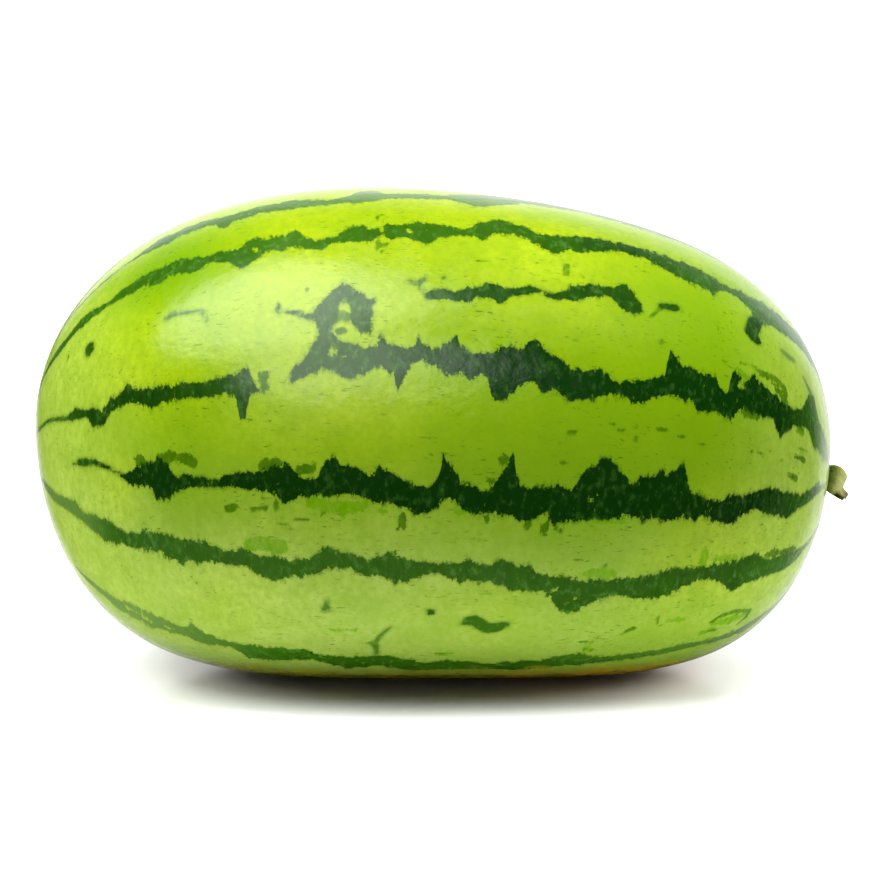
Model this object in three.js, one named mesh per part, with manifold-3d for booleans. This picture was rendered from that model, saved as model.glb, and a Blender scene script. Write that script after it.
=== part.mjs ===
// A long oval watermelon, as picked, lying on its ground spot, with the stub of its dried stem.
// Millimetres, +Z up. The origin is on the surface that the fruit lies on, in the middle of its
// flat ground spot. +X runs along the fruit to the stem end, and -Y is its best side.
import * as THREE from "three";
import { mergeVertices } from "three/addons/utils/BufferGeometryUtils.js";
import Module from "manifold-3d";

// The fruit's body: half its length, its radii over, under and beside the middle line, and the
// share by which it is wider under that line than over it, as it sags where it lies.
const HALF_LENGTH = 199.5;
const TOP_RADIUS = 122.2;
const BOTTOM_RADIUS = 123.4;
const SIDE_RADIUS = 123;
const SAG = 0.05;

// How the back and the belly swell along the body. Each radius is multiplied by
// 1 + lean t + fullness t^2 + twist t^3, where t runs from -1 at the blossom end to 1 at the stem end.
const BACK = { lean: -0.068, fullness: 0.157, twist: 0.096 };
const BELLY = { lean: -0.039, fullness: 0.496, twist: 0.034 };

// The middle line stands higher at the blossom end, and the ground spot is pressed flat.
const MIDDLE_HEIGHT = 122.5;
const END_RISE = 4.8;

// The stem and the blossom scar sit below the middle line's ends.
const STEM_DROP = 18.5;
const BLOSSOM_DROP = 12;

// Low relief of the skin.
const LOBES = 10;
const LOBE_DEPTH = 0.2;
const STEM_DIMPLE = { radius: 15, depth: 2 };
const SCAR = { radius: 6.5, ringWidth: 1.9, ringHeight: 0.7, cupDepth: 0.6 };

// Facets of the fruit, with its rings drawn towards the two ends, where the relief is fine.
const FRUIT_SIDES = 72;
const FRUIT_RINGS = 48;
const RING_CROWDING = 0.4;

// The stem stub, from its root inside the fruit to its torn tip. Each step gives the stub's edge
// over and under it, as how far each lies out from the fruit's end and up from it, with how far
// the step stands to the side and half its width there.
const STEM_STEPS = [
  { over: [-4, 6.4], under: [-4, -5.8], side: 0, halfWidth: 6.2 },
  { over: [-0.5, 6.1], under: [-0.5, -5.4], side: 0, halfWidth: 5.9 },
  { over: [4, 6.4], under: [1, -6.6], side: -0.2, halfWidth: 5.6 },
  { over: [7.4, 4.9], under: [2.5, -7.6], side: -0.4, halfWidth: 5.3 },
  { over: [8.9, 1.1], under: [3.7, -8.5], side: -0.7, halfWidth: 4.4 },
  { over: [8, -2.8], under: [4.7, -9.2], side: -1, halfWidth: 3.3 },
  { over: [7.7, -5], under: [5.7, -10], side: -1.3, halfWidth: 2.7 },
  { over: [9.4, -7.4], under: [6.8, -10.8], side: -1.5, halfWidth: 2.4 },
];
const STEM_RIDGES = 5;
const STEM_RIDGE_SHARE = 0.09;
const STEM_TWIST = 0.9;
const STEM_TEAR = 0.9;
const STEM_SIDES = 30;
const STEM_RINGS = 22;

// The stem's root ends this far short of the fruit's skin.
const SEAT_GAP = 0.3;

const RIND_COLOUR = 0x8cb80a;
const STEM_COLOUR = 0x8a8a4a;

// How much a radius swells at t.
function swell(profile, t) {
  return 1 + profile.lean * t + profile.fullness * t ** 2 + profile.twist * t ** 3;
}

// How far the directions near each end are turned down, to bring the two poles of the skin's
// growth to the stem and to the scar.
const STEM_TURN = Math.asin(STEM_DROP / (BOTTOM_RADIUS * swell(BELLY, 1)));
const BLOSSOM_TURN = Math.asin(BLOSSOM_DROP / (BOTTOM_RADIUS * swell(BELLY, -1)));

// The point of the bare ovoid in a direction of growth, which is a unit vector.
function ovoidPoint(growth) {
  const turn = THREE.MathUtils.lerp(-BLOSSOM_TURN, STEM_TURN, (1 + growth.x) / 2);
  const u = growth.clone().applyAxisAngle(new THREE.Vector3(0, 1, 0), turn);
  const around = Math.hypot(u.y, u.z);
  const uprightness = around > 0 ? u.z / around : 0;
  const back = TOP_RADIUS * swell(BACK, u.x);
  const belly = BOTTOM_RADIUS * swell(BELLY, u.x);
  const side = (SIDE_RADIUS * (swell(BACK, u.x) + swell(BELLY, u.x))) / 2;
  const height = (back + belly) / 2 + ((back - belly) / 2) * uprightness;
  return new THREE.Vector3(
    HALF_LENGTH * u.x,
    side * u.y * (1 - SAG * uprightness),
    MIDDLE_HEIGHT - END_RISE * u.x + height * u.z,
  );
}

// The relief above the ovoid in a direction of growth: lobes, the stem's dimple and the scar.
function relief(growth) {
  const around = Math.hypot(growth.y, growth.z);
  const lobe = LOBE_DEPTH * around ** 2 * Math.cos(LOBES * Math.atan2(growth.z, growth.y));
  const reach = BOTTOM_RADIUS * swell(BELLY, Math.sign(growth.x)) * around;
  if (growth.x > 0) {
    return lobe - STEM_DIMPLE.depth * Math.exp(-((reach / STEM_DIMPLE.radius) ** 2));
  }
  const ring = SCAR.ringHeight * Math.exp(-(((reach - SCAR.radius) / SCAR.ringWidth) ** 2));
  const cup = SCAR.cupDepth * Math.exp(-((reach / SCAR.radius) ** 4));
  return lobe + ring - cup;
}

// The outward direction of the bare ovoid in a direction of growth.
function ovoidNormal(growth) {
  const step = 1e-3;
  const side = new THREE.Vector3(0, 1, 0).cross(growth);
  if (side.length() < step) side.set(1, 0, 0).cross(growth);
  side.normalize();
  const other = growth.clone().cross(side);
  const at = (along, amount) => ovoidPoint(growth.clone().addScaledVector(along, amount).normalize());
  const alongSide = at(side, step).sub(at(side, -step));
  const alongOther = at(other, step).sub(at(other, -step));
  return alongSide.cross(alongOther).normalize();
}

// The fruit as one closed skin, raised everywhere by clearance.
function fruitGeometry(clearance) {
  const geometry = new THREE.SphereGeometry(1, FRUIT_SIDES, FRUIT_RINGS);
  geometry.rotateZ(-Math.PI / 2);
  geometry.deleteAttribute("normal");
  geometry.deleteAttribute("uv");
  const positions = geometry.getAttribute("position");
  for (let i = 0; i < positions.count; i++) {
    const u = new THREE.Vector3().fromBufferAttribute(positions, i).normalize();
    const polar = Math.acos(THREE.MathUtils.clamp(u.x, -1, 1));
    const crowded = polar - RING_CROWDING * Math.sin(2 * polar);
    const around = Math.hypot(u.y, u.z);
    const share = around > 1e-6 ? Math.sin(crowded) / around : 0;
    const growth = new THREE.Vector3(Math.cos(crowded), u.y * share, u.z * share).normalize();
    const p = ovoidPoint(growth).addScaledVector(ovoidNormal(growth), relief(growth) + clearance);
    positions.setXYZ(i, p.x, p.y, Math.max(p.z, -clearance));
  }
  return mergeVertices(geometry, 1e-4);
}

// The stub's edges over and under it and its half widths, as smooth curves through its steps.
function stemCurves() {
  const seat = ovoidPoint(new THREE.Vector3(1, 0, 0));
  const edge = (name) =>
    new THREE.CatmullRomCurve3(
      STEM_STEPS.map((step) => new THREE.Vector3(seat.x + step[name][0], step.side, seat.z + step[name][1])),
    );
  const widths = new THREE.SplineCurve(
    STEM_STEPS.map((step, i) => new THREE.Vector2(i / (STEM_STEPS.length - 1), step.halfWidth)),
  );
  return { over: edge("over"), under: edge("under"), widths };
}

// The stub as a ridged tube that hangs down, with a torn end.
function stemGeometry() {
  const geometry = new THREE.CylinderGeometry(1, 1, 1, STEM_SIDES, STEM_RINGS);
  geometry.deleteAttribute("normal");
  geometry.deleteAttribute("uv");
  const { over, under, widths } = stemCurves();
  const positions = geometry.getAttribute("position");
  for (let i = 0; i < positions.count; i++) {
    const p = new THREE.Vector3().fromBufferAttribute(positions, i);
    const share = THREE.MathUtils.clamp(p.y + 0.5, 0, 1);
    const angle = Math.atan2(p.z, p.x);
    const spread = Math.hypot(p.x, p.z);
    const reach = spread * (1 + STEM_RIDGE_SHARE * Math.cos(STEM_RIDGES * angle + STEM_TWIST * share));
    const top = over.getPoint(share);
    const bottom = under.getPoint(share);
    const rise = top.clone().sub(bottom).multiplyScalar(0.5);
    const outward = new THREE.Vector3(rise.z, 0, -rise.x).normalize();
    const torn = share === 1 ? STEM_TEAR * spread * Math.sin(3 * angle + 1) : 0;
    const at = top
      .add(bottom)
      .multiplyScalar(0.5)
      .addScaledVector(rise, reach * Math.sin(angle))
      .addScaledVector(outward, torn);
    at.y -= reach * widths.getPoint(share).y * Math.cos(angle);
    positions.setXYZ(i, at.x, at.y, at.z);
  }
  return mergeVertices(geometry, 1e-4);
}

const wasm = await Module();
wasm.setup();

// A closed geometry as a solid for cutting.
function solidOf(geometry) {
  return new wasm.Manifold(
    new wasm.Mesh({
      numProp: 3,
      vertProperties: new Float32Array(geometry.getAttribute("position").array),
      triVerts: new Uint32Array(geometry.index.array),
    }),
  );
}

// A cut solid as a geometry again.
function geometryOf(solid) {
  const mesh = solid.getMesh();
  return new THREE.BufferGeometry()
    .setAttribute("position", new THREE.BufferAttribute(mesh.vertProperties, 3))
    .setIndex(new THREE.BufferAttribute(mesh.triVerts, 1));
}

function namedMesh(name, geometry, material) {
  geometry.computeVertexNormals();
  const mesh = new THREE.Mesh(geometry, material);
  mesh.name = name;
  return mesh;
}

const rind = new THREE.MeshStandardMaterial({ color: RIND_COLOUR, roughness: 0.35, metalness: 0 });
const driedStem = new THREE.MeshStandardMaterial({ color: STEM_COLOUR, roughness: 0.85, metalness: 0 });

const seatedStem = solidOf(stemGeometry()).subtract(solidOf(fruitGeometry(SEAT_GAP)));

const watermelon = new THREE.Group();
watermelon.add(namedMesh("fruit", fruitGeometry(0), rind));
watermelon.add(namedMesh("stem", geometryOf(seatedStem), driedStem));

export default watermelon;
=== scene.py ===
"""Dresses a long striped watermelon, which lies on its ground spot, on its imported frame.

The frame is in metres, with +Z up, +X towards the stem and -Y towards the best side. Sizes are
in millimetres, and a place on the skin is its distance along the fruit from the middle towards
the stem, in millimetres, with its angle round the fruit in degrees: 0 at -Y and 90 on top.
"""

import logging
import math
from dataclasses import dataclass, field
from enum import Enum
from functools import partial
from typing import Any

import bpy
import numpy as np
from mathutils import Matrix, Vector
from mathutils.bvhtree import BVHTree
from mathutils.geometry import barycentric_transform


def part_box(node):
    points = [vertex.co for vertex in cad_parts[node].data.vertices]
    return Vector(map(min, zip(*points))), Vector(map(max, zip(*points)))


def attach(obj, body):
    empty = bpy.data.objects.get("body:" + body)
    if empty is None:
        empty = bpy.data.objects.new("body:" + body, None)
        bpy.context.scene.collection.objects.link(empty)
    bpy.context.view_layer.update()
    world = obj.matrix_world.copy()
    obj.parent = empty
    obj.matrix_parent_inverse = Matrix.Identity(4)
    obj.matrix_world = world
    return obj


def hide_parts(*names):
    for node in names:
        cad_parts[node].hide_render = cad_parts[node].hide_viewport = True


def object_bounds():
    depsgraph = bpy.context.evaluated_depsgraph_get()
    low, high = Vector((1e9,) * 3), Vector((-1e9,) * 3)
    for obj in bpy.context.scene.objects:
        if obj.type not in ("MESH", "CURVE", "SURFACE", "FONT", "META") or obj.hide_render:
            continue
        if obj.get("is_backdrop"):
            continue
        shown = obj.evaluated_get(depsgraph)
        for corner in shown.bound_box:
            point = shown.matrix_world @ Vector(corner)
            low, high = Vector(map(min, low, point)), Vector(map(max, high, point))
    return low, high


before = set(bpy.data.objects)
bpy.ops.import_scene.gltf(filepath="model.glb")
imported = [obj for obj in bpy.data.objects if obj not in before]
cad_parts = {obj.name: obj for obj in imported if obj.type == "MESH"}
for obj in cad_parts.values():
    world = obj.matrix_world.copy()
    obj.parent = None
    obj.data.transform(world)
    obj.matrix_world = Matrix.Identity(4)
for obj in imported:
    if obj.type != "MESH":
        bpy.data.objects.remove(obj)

MM = 0.001
BODY = "root"
GROWTH = "growth"

# Kinds of node that several trees use, and settings that many nodes share.
MATH, VECTOR_MATH, MIX, SPAN, NOISE, BUMP, ATTRIBUTE, PLACE, APART, TOGETHER, SHADER, OUTPUT = (
    f"ShaderNode{kind}"
    for kind in (
        "Math", "VectorMath", "Mix", "MapRange", "TexNoise", "Bump", "Attribute", "TexCoord",
        "SeparateXYZ", "CombineXYZ", "BsdfPrincipled", "OutputMaterial",
    )
)
TIMES, PLUS, MINUS, OVER, TIMES_PLUS, SIZE_OF, SINE, COSINE, LENGTH, SCALE = (
    {"operation": name}
    for name in (
        "MULTIPLY", "ADD", "SUBTRACT", "DIVIDE", "MULTIPLY_ADD", "ABSOLUTE", "SINE", "COSINE",
        "LENGTH", "SCALE",
    )
)
SMOOTH = {"interpolation_type": "SMOOTHSTEP"}
COLOURS = {"data_type": "RGBA"}
VECTORS = {"data_type": "FLOAT_VECTOR"}
CLAMPED = {"use_clamp": True}

# The layers that are painted on bare skin: how far inside the dark and the green marks a place
# is, which is counted up to the farthest, how strong and how ragged they are, and the tone.
FARTHEST = 12.0
LAYERS = {
    "dark": -FARTHEST, "dark_strength": 0.5, "dark_ragged": 1.0,
    "mid": -FARTHEST, "mid_strength": 0.0, "mid_ragged": 1.0, "tone": 0.0,
}

# How a value is read: from where to where it runs, and what is read at each of the two.
Span = tuple[float, float, float, float]

log = logging.getLogger("watermelon")


class Slot(Enum):
    """The record's material slots."""

    RIND = "rind"
    DRIED_STEM = "dried_stem"


class Pigment(Enum):
    """What a mark does to the skin."""

    DARK = "dark"
    MID = "mid"
    BARE = "bare"


def linear(colour: str) -> tuple[float, float, float, float]:
    """Turns an sRGB hex colour into a linear one.

    Args:
        colour: Six hex digits.

    Returns:
        Red, green, blue and an alpha of 1.
    """
    shares = [int(colour[i : i + 2], 16) / 255 for i in (0, 2, 4)]
    red, green, blue = (s / 12.92 if s <= 0.04045 else ((s + 0.055) / 1.055) ** 2.4 for s in shares)
    return red, green, blue, 1.0


def add_node(
    tree: bpy.types.NodeTree,
    kind: str,
    settings: dict[str, Any] | None = None,
    links: dict[int | str, Any] | list[Any] | None = None,
) -> bpy.types.Node:
    """Adds a node with its settings and with what feeds its sockets.

    Args:
        tree: The tree that gets the node.
        kind: The node's type.
        settings: Its properties by name.
        links: Its inputs by name or number, or in order. Each is a value, a socket, or a node
            whose first output feeds it.

    Returns:
        The new node.
    """
    node = tree.nodes.new(kind)
    for name, value in (settings or {}).items():
        setattr(node, name, value)
    pairs = enumerate(links) if isinstance(links, list) else (links or {}).items()
    for name, value in pairs:
        if isinstance(value, bpy.types.Node):
            value = value.outputs[0]
        if isinstance(value, bpy.types.NodeSocket):
            tree.links.new(value, node.inputs[name])
        else:
            node.inputs[name].default_value = value
    return node


def layer_colours(tree: bpy.types.NodeTree, base: Any, layers: list[tuple[Any, Any]]) -> bpy.types.NodeSocket:
    """Lays colours over one another.

    Args:
        tree: A material's tree.
        base: The lowest colour, as a hex value or a socket.
        layers: What lies over it, from the lowest up: how much of it shows, and its colour.

    Returns:
        The resulting colour.
    """
    colour = base
    for share, over in layers:
        colour, over = (linear(tint) if isinstance(tint, str) else tint for tint in (colour, over))
        colour = add_node(tree, MIX, COLOURS, {0: share, 6: colour, 7: over}).outputs[2]
    return colour


def new_finish(name: str) -> tuple[bpy.types.Material, partial]:
    """Starts a material that has no nodes.

    Args:
        name: The real material's name.

    Returns:
        The material, and add_node for its tree.
    """
    material = bpy.data.materials.new(name)
    material.use_nodes = True
    material.node_tree.nodes.clear()
    return material, partial(add_node, material.node_tree)


def new_tree(name: str, sizes: dict[str, float | int]) -> bpy.types.NodeTree:
    """Starts a Geometry Nodes tree that has a named input for each size.

    Args:
        name: The tree's name.
        sizes: The inputs' names and values; an input is whole numbers if its value is an int.

    Returns:
        The tree, with a geometry output.
    """
    tree = bpy.data.node_groups.new(name, "GeometryNodeTree")
    for title, value in sizes.items():
        kind = "NodeSocketInt" if isinstance(value, int) else "NodeSocketFloat"
        tree.interface.new_socket(title, in_out="INPUT", socket_type=kind)
    tree.interface.new_socket("Geometry", in_out="OUTPUT", socket_type="NodeSocketGeometry")
    return tree


def mesh_from_nodes(tree: bpy.types.NodeTree, sizes: dict[str, float | int]) -> bpy.types.Mesh:
    """Runs a Geometry Nodes tree once and keeps its result as a plain mesh.

    Args:
        tree: The tree.
        sizes: The values of its named inputs.

    Returns:
        The mesh.
    """
    maker = bpy.data.objects.new(tree.name, bpy.data.meshes.new(tree.name))
    bpy.context.scene.collection.objects.link(maker)
    modifier = maker.modifiers.new(tree.name, "NODES")
    modifier.node_group = tree
    for item in tree.interface.items_tree:
        if item.name in sizes:
            modifier[item.identifier] = sizes[item.name]
    evaluated = maker.evaluated_get(bpy.context.evaluated_depsgraph_get())
    mesh = bpy.data.meshes.new_from_object(evaluated)
    maker.modifiers.remove(modifier)
    empty = maker.data
    bpy.data.objects.remove(maker)
    bpy.data.meshes.remove(empty)
    return mesh


def place_piece(name: str, mesh: bpy.types.Mesh, nodes: tuple[str, ...] = ()) -> bpy.types.Object:
    """Puts a finished mesh in the scene as a piece of the object.

    Args:
        name: The piece's name.
        mesh: Its mesh, in metres in the frame.
        nodes: The CAD nodes that it stands for.

    Returns:
        The piece.
    """
    mesh.name = name
    piece = bpy.data.objects.new(name, mesh)
    bpy.context.scene.collection.objects.link(piece)
    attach(piece, BODY)
    if nodes:
        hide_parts(*nodes)
    log.info("%s: %d vertices, %d faces", name, len(mesh.vertices), len(mesh.polygons))
    return piece


class Skin:
    """The fruit's mesh, read for painting: where each vertex is on the skin."""

    def __init__(self, mesh: bpy.types.Mesh, half_length: float, middle_height: float) -> None:
        """Reads a mesh.

        Args:
            mesh: The fruit's mesh, in metres, with its directions of growth.
            half_length: Half the fruit's length, in millimetres.
            middle_height: The height of its middle line, in millimetres.
        """
        places, growth = np.empty((2, len(mesh.vertices) * 3), dtype=np.float32)
        mesh.vertices.foreach_get("co", places)
        mesh.attributes[GROWTH].data.foreach_get("vector", growth)
        self.places = places.reshape(-1, 3).astype(float) / MM
        self.growth = growth.reshape(-1, 3).astype(float)
        self.half_length = half_length
        self.along = half_length * self.growth[:, 0]
        self.angle = np.degrees(np.arctan2(self.growth[:, 2], -self.growth[:, 1]))
        self.hoop = np.hypot(self.places[:, 1], self.places[:, 2] - middle_height)
        self.faces = [tuple(p.vertices) for p in mesh.polygons]
        self.finder = BVHTree.FromPolygons([Vector(g) for g in self.growth], self.faces)

    def place(self, along: float, angle: float) -> np.ndarray:
        """Finds a place on the skin.

        Args:
            along: Millimetres from the middle towards the stem.
            angle: Degrees round the fruit.

        Returns:
            Its position, in millimetres.
        """
        x = along / self.half_length
        around = math.sqrt(max(1 - x * x, 0))
        turn = math.radians(angle)
        wanted = Vector((x, -around * math.cos(turn), around * math.sin(turn)))
        nearest, _, face, _ = self.finder.find_nearest(wanted)
        corners = [Vector(rows[i]) for rows in (self.growth, self.places) for i in self.faces[face][:3]]
        return np.array(barycentric_transform(nearest, *corners))


@dataclass(frozen=True)
class Stripe:
    """A dark stripe that runs along the fruit, from its first point to its last.

    Each edge is a row of points, each (millimetres along, degrees round). The strengths are
    (millimetres along, share of the darkest pigment). The teeth of its edges have their full
    length where the stripe is wide enough, and at least their least share where it is thin.
    """

    above: tuple[tuple[float, float], ...]
    below: tuple[tuple[float, float], ...]
    strengths: tuple[tuple[float, float], ...]
    pigment: Pigment = Pigment.DARK
    full_teeth_width: float = 8.5
    least_teeth: float = 0.4

    def cover(self, skin: Skin) -> np.ndarray:
        """Finds how far inside the stripe each vertex is.

        Args:
            skin: The fruit's skin.

        Returns:
            Millimetres, less than 0 outside it.
        """
        above, below = (np.interp(skin.along, *zip(*edge)) for edge in (self.above, self.below))
        off = np.abs((skin.angle - (above + below) / 2 + 180) % 360 - 180)
        inside = np.radians((above - below) / 2 - off) * skin.hoop
        ends = np.minimum(skin.along - self.above[0][0], self.above[-1][0] - skin.along)
        return np.minimum(inside, ends)

    def look(self, skin: Skin) -> tuple[np.ndarray, np.ndarray]:
        """Finds how the stripe looks at each vertex.

        Args:
            skin: The fruit's skin.

        Returns:
            The share of the darkest pigment, and how ragged the edges are.
        """
        above, below = (np.interp(skin.along, *zip(*edge)) for edge in (self.above, self.below))
        width = np.radians(above - below) * skin.hoop
        ragged = np.clip(width / self.full_teeth_width, self.least_teeth, 1)
        return np.interp(skin.along, *zip(*self.strengths)), ragged


@dataclass(frozen=True)
class Stroke:
    """A mark drawn along a line of points, each (mm along, degrees round, radius in mm)."""

    points: tuple[tuple[float, float, float], ...]
    pigment: Pigment
    shade: float
    raggedness: float

    def cover(self, skin: Skin) -> np.ndarray:
        """Finds how far inside the stroke each vertex is.

        Args:
            skin: The fruit's skin.

        Returns:
            Millimetres, less than 0 outside it.
        """
        best = np.full(len(skin.along), -np.inf)
        placed = [(skin.place(along, angle), radius) for along, angle, radius in self.points]
        for (start, start_radius), (end, end_radius) in zip(placed, placed[1:] or placed):
            run = end - start
            length = max(float(run @ run), 1e-9)
            share = np.clip((skin.places - start) @ run / length, 0, 1)
            away = np.linalg.norm(skin.places - start - share[:, None] * run, axis=1)
            best = np.maximum(best, start_radius + (end_radius - start_radius) * share - away)
        return best

    def look(self, skin: Skin) -> tuple[np.ndarray, np.ndarray]:
        """The share of the darkest pigment at each vertex, and how ragged the edges are."""
        return np.full(len(skin.along), self.shade), np.full(len(skin.along), self.raggedness)


# The stripes that show from the best side, from the top down.
CROWN = Stripe(
    above=(
        (-176, 73), (-161, 74.5), (-141, 76), (-129, 80.5), (-110, 80.5), (-96, 78.5), (-82, 80.5),
        (-67, 81.5), (-50, 79.5), (-42, 81), (-37, 87), (-31, 88.5), (-25, 83.5), (2, 85.5), (21, 92.5),
        (39, 96), (60, 96.5), (79, 95), (101, 93), (133, 91), (165, 90), (190, 88),
    ),
    below=(
        (-176, 72), (-161, 73.5), (-143, 75), (-124, 73.5), (-121, 75.5), (-102, 75), (-99, 71), (-93, 73.5),
        (-84, 75), (-52, 75.5), (-34, 77), (-25, 79), (5, 81), (9, 78.5), (20, 77.5), (27, 81), (39, 87),
        (60, 88.5), (133, 88), (165, 87.5), (190, 86),
    ),
    strengths=((-160, 0.1), (-60, -0.2), (-20, -0.4), (30, -0.4), (60, 0), (160, 0.1)),
)
BROW = Stripe(
    above=(
        (-192, 57), (-173, 58), (-165, 61), (-158, 59), (-151, 58), (-145, 60), (-119, 62), (-106, 60),
        (-92, 60), (-85, 62.5), (-69, 62.5), (-65, 65), (-62, 62), (-56, 59.5), (-47, 61), (-39, 64.5),
        (-35, 64.5), (-30, 63), (-27, 64), (-25, 69), (-24, 66.5), (-19, 64.5), (-11, 66.5), (12, 65),
        (17, 68), (27, 71), (34, 69.5), (44, 67), (50, 66), (57, 68.5), (75, 70), (96, 70.5), (120, 70),
        (129, 67.5), (137, 68.5), (152, 72), (165, 74.5), (175, 79), (189, 79), (196, 75),
    ),
    below=(
        (-192, 55), (-180, 53), (-168, 55), (-154, 56), (-134, 56.5), (-127, 55), (-121, 56.5), (-111, 55),
        (-102, 57), (-95, 56), (-90, 53), (-84, 54), (-79, 57.5), (-71, 57), (-63, 58.5), (-55, 55.5),
        (-47, 58.5), (-40, 59), (-31, 58), (-26, 62), (-22, 58.5), (-18, 61), (-11, 59.5), (-6, 58.5),
        (1, 61.5), (14, 62.5), (20, 61), (23, 64), (32, 65), (40, 63.5), (49, 60.5), (53, 59.5), (57, 62),
        (66, 62), (77, 65.5), (91, 66), (100, 64), (112, 61.5), (127, 60.5), (131, 64), (138, 65), (145, 62),
        (148, 57.5), (160, 62), (168, 64), (176, 67), (189, 67), (196, 73),
    ),
    strengths=(
        (-180, 0), (-130, 0.2), (-99, 0.2), (-70, -0.1), (-38, 0.1), (22, 0.15), (53, 0.4), (83, 0.8),
        (113, 0.4), (150, 0.2), (190, -0.2),
    ),
)
DASH = Stripe(
    above=(
        (-6, 43.5), (2, 45), (7, 44), (14, 46), (18, 46), (22, 48), (25, 47), (30, 46), (41, 48), (51, 46.5),
        (58, 48.5), (68, 51), (80, 52), (84, 52.5), (87, 51.5), (92, 47.5),
    ),
    below=(
        (-6, 42.5), (-3, 41.5), (8, 42), (12, 41.5), (18, 43.5), (25, 43), (29, 40.5), (30, 43), (32, 44),
        (45, 46), (51, 44.8), (58, 45.3), (61, 44.7), (64, 46.5), (78, 48.5), (81, 45), (84, 44.5),
        (89, 44.5), (92, 46),
    ),
    strengths=((-6, 0.4), (20, 0.75), (90, 0.7)),
)
LEFT_CHEEK = Stripe(
    above=(
        (-195, 21), (-186, 22.5), (-174, 20), (-170, 22), (-162, 20), (-153, 20), (-151, 22.5), (-147, 22),
        (-141, 25), (-133, 23), (-127, 23.5), (-116, 23.5), (-105, 22.5), (-102, 23.5), (-89, 24), (-87, 26),
        (-85, 25), (-82, 21.5), (-80, 20.5),
    ),
    below=(
        (-195, 19), (-186, 20.5), (-170, 17.5), (-163, 18), (-162, 15), (-156, 14), (-153, 16), (-151, 18),
        (-141, 20), (-132, 18.5), (-130, 17.5), (-128, 18.5), (-119, 19), (-97, 20), (-90, 18.5), (-89, 14),
        (-86, 14), (-85, 19), (-80, 20),
    ),
    strengths=((-195, -0.5), (-180, 0.3), (-160, 0.85), (-130, 0.8), (-100, 0.65), (-80, 0.5)),
)
RIGHT_CHEEK = Stripe(
    above=(
        (-27, 30), (-25, 34), (-24, 32), (-22, 30.5), (-11, 29.5), (-9, 32), (-5, 30), (1, 30), (5, 31),
        (9, 33), (10, 30.5), (15, 29), (26, 29.5), (31, 31.5), (38, 30), (41, 33.5), (46, 33.5), (48, 31.5),
        (54, 30.5), (62, 27.5), (74, 28), (82, 26), (91, 26.5), (97, 27.5), (104.3, 29), (104.8, 34.5),
        (106, 36.5), (108, 35.3), (110.5, 34.3), (112, 32.5), (129, 31.5), (132, 28.5), (134.5, 28.5),
        (135.3, 34.5), (137, 36), (140, 35), (141, 33), (143, 32.5), (147, 36), (151, 35), (161, 32),
        (168, 31), (174, 34), (176, 38.5), (178, 44), (181, 45), (183, 40), (185, 34), (190, 31.5), (193, 28),
        (196, 26),
    ),
    below=(
        (-27, 28), (-22, 24), (-20, 24.5), (-18, 22.5), (-17, 20), (-15, 22), (-12, 26), (-9, 27), (2, 25.5),
        (6, 23.5), (12, 25), (15, 23), (23, 24.5), (25, 20), (26, 19), (32, 19), (36, 21.5), (44, 24),
        (49, 21.5), (52, 22.5), (59, 21), (62, 20), (75, 21.5), (86, 22.5), (91, 21), (98, 22.5), (107, 24.5),
        (117, 24.5), (120, 22), (122, 21.5), (128, 22.5), (138, 21.5), (142, 24.5), (158, 24.5), (161, 21),
        (163, 20), (167, 22.5), (169, 25.5), (176, 27), (179, 26), (182, 21.5), (186, 20.5), (190, 19),
        (196, 18),
    ),
    strengths=((-27, 0.5), (0, 0.8), (50, 1.15), (160, 1.1), (176, 0.5), (184, -0.2), (192, -0.9)),
)
WAIST = Stripe(
    above=(
        (-173, 2.5), (-167, 4.5), (-158, 4), (-150, 2), (-146, 0.5), (-143, 2), (-135, 3.5), (-128, 5),
        (-124, 4), (-122, 2), (-119, 0), (-116, 1.5), (-107, 0.5), (-100, 0), (-97, 1.5), (-83, 2.5),
        (-71, 3), (-68, 4.5), (-66, 4), (-62, 1), (-54, 1), (-52, 3), (-49, 5), (-47, 6), (-45, 5.5),
        (-42, 3.5), (-37, 3.5), (-31, 2), (-27, 2.5), (-25, 4), (-21, 4), (-18, 2), (-14, 1), (-2, -0.5),
        (2, 1), (3, 5), (4, 6.5), (7, 5.5), (10, 3), (13, 1), (25, -1), (30, 2), (34, 4), (35, 7.5), (37, 8),
        (38, 3.5), (41, 0.5), (56, 0.5), (57, 2), (59, 0.5), (65, 0.5), (67, 1.5), (68, 4), (71, 5),
        (77, 6.5), (78, 7.5), (82, 7.5), (84, 6), (88, 5), (91, 3), (92, 1.5), (94, 1.5), (95, 3.5),
        (105, 4.8), (106, 6), (107, 5), (113, 6), (115, 7.5), (116.5, 7.5), (118, 5.5), (119, 3), (122, 1),
        (126, -0.5), (130, -1), (143, 0.5), (151, 1), (159, 3), (169, 2), (179, 0.5), (185, 3), (195, 4.5),
    ),
    below=(
        (-173, 2), (-162, 2.5), (-154, 2), (-148, 0), (-143, -2), (-133, -2.5), (-130, -5.5), (-127, -6),
        (-125, -5), (-120, -2.5), (-107, -1.5), (-83, -1.5), (-73, -2.5), (-70, -5), (-67, -4.5), (-64, -3),
        (-39, -2.5), (-29, -3.5), (-25, -4.5), (-19, -4.5), (-14, -5.5), (-6, -6.5), (-1, -5.5), (6, -3.5),
        (11, -3.5), (17, -6), (35, -6.5), (40, -7.5), (48, -6.5), (55, -6), (57, -8.5), (60, -7.5), (88, -6),
        (94, -5.5), (113, -6.5), (119, -5), (125, -7), (127, -4.5), (141, -7.5), (152, -3.5), (161, -5),
        (171, -7.5), (179, -5), (187, -2), (195, 2),
    ),
    strengths=((-173, 0.4), (-150, 1), (-80, 1.05), (-20, 1.15), (150, 1.1), (180, 0.4), (195, -0.7)),
)
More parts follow.
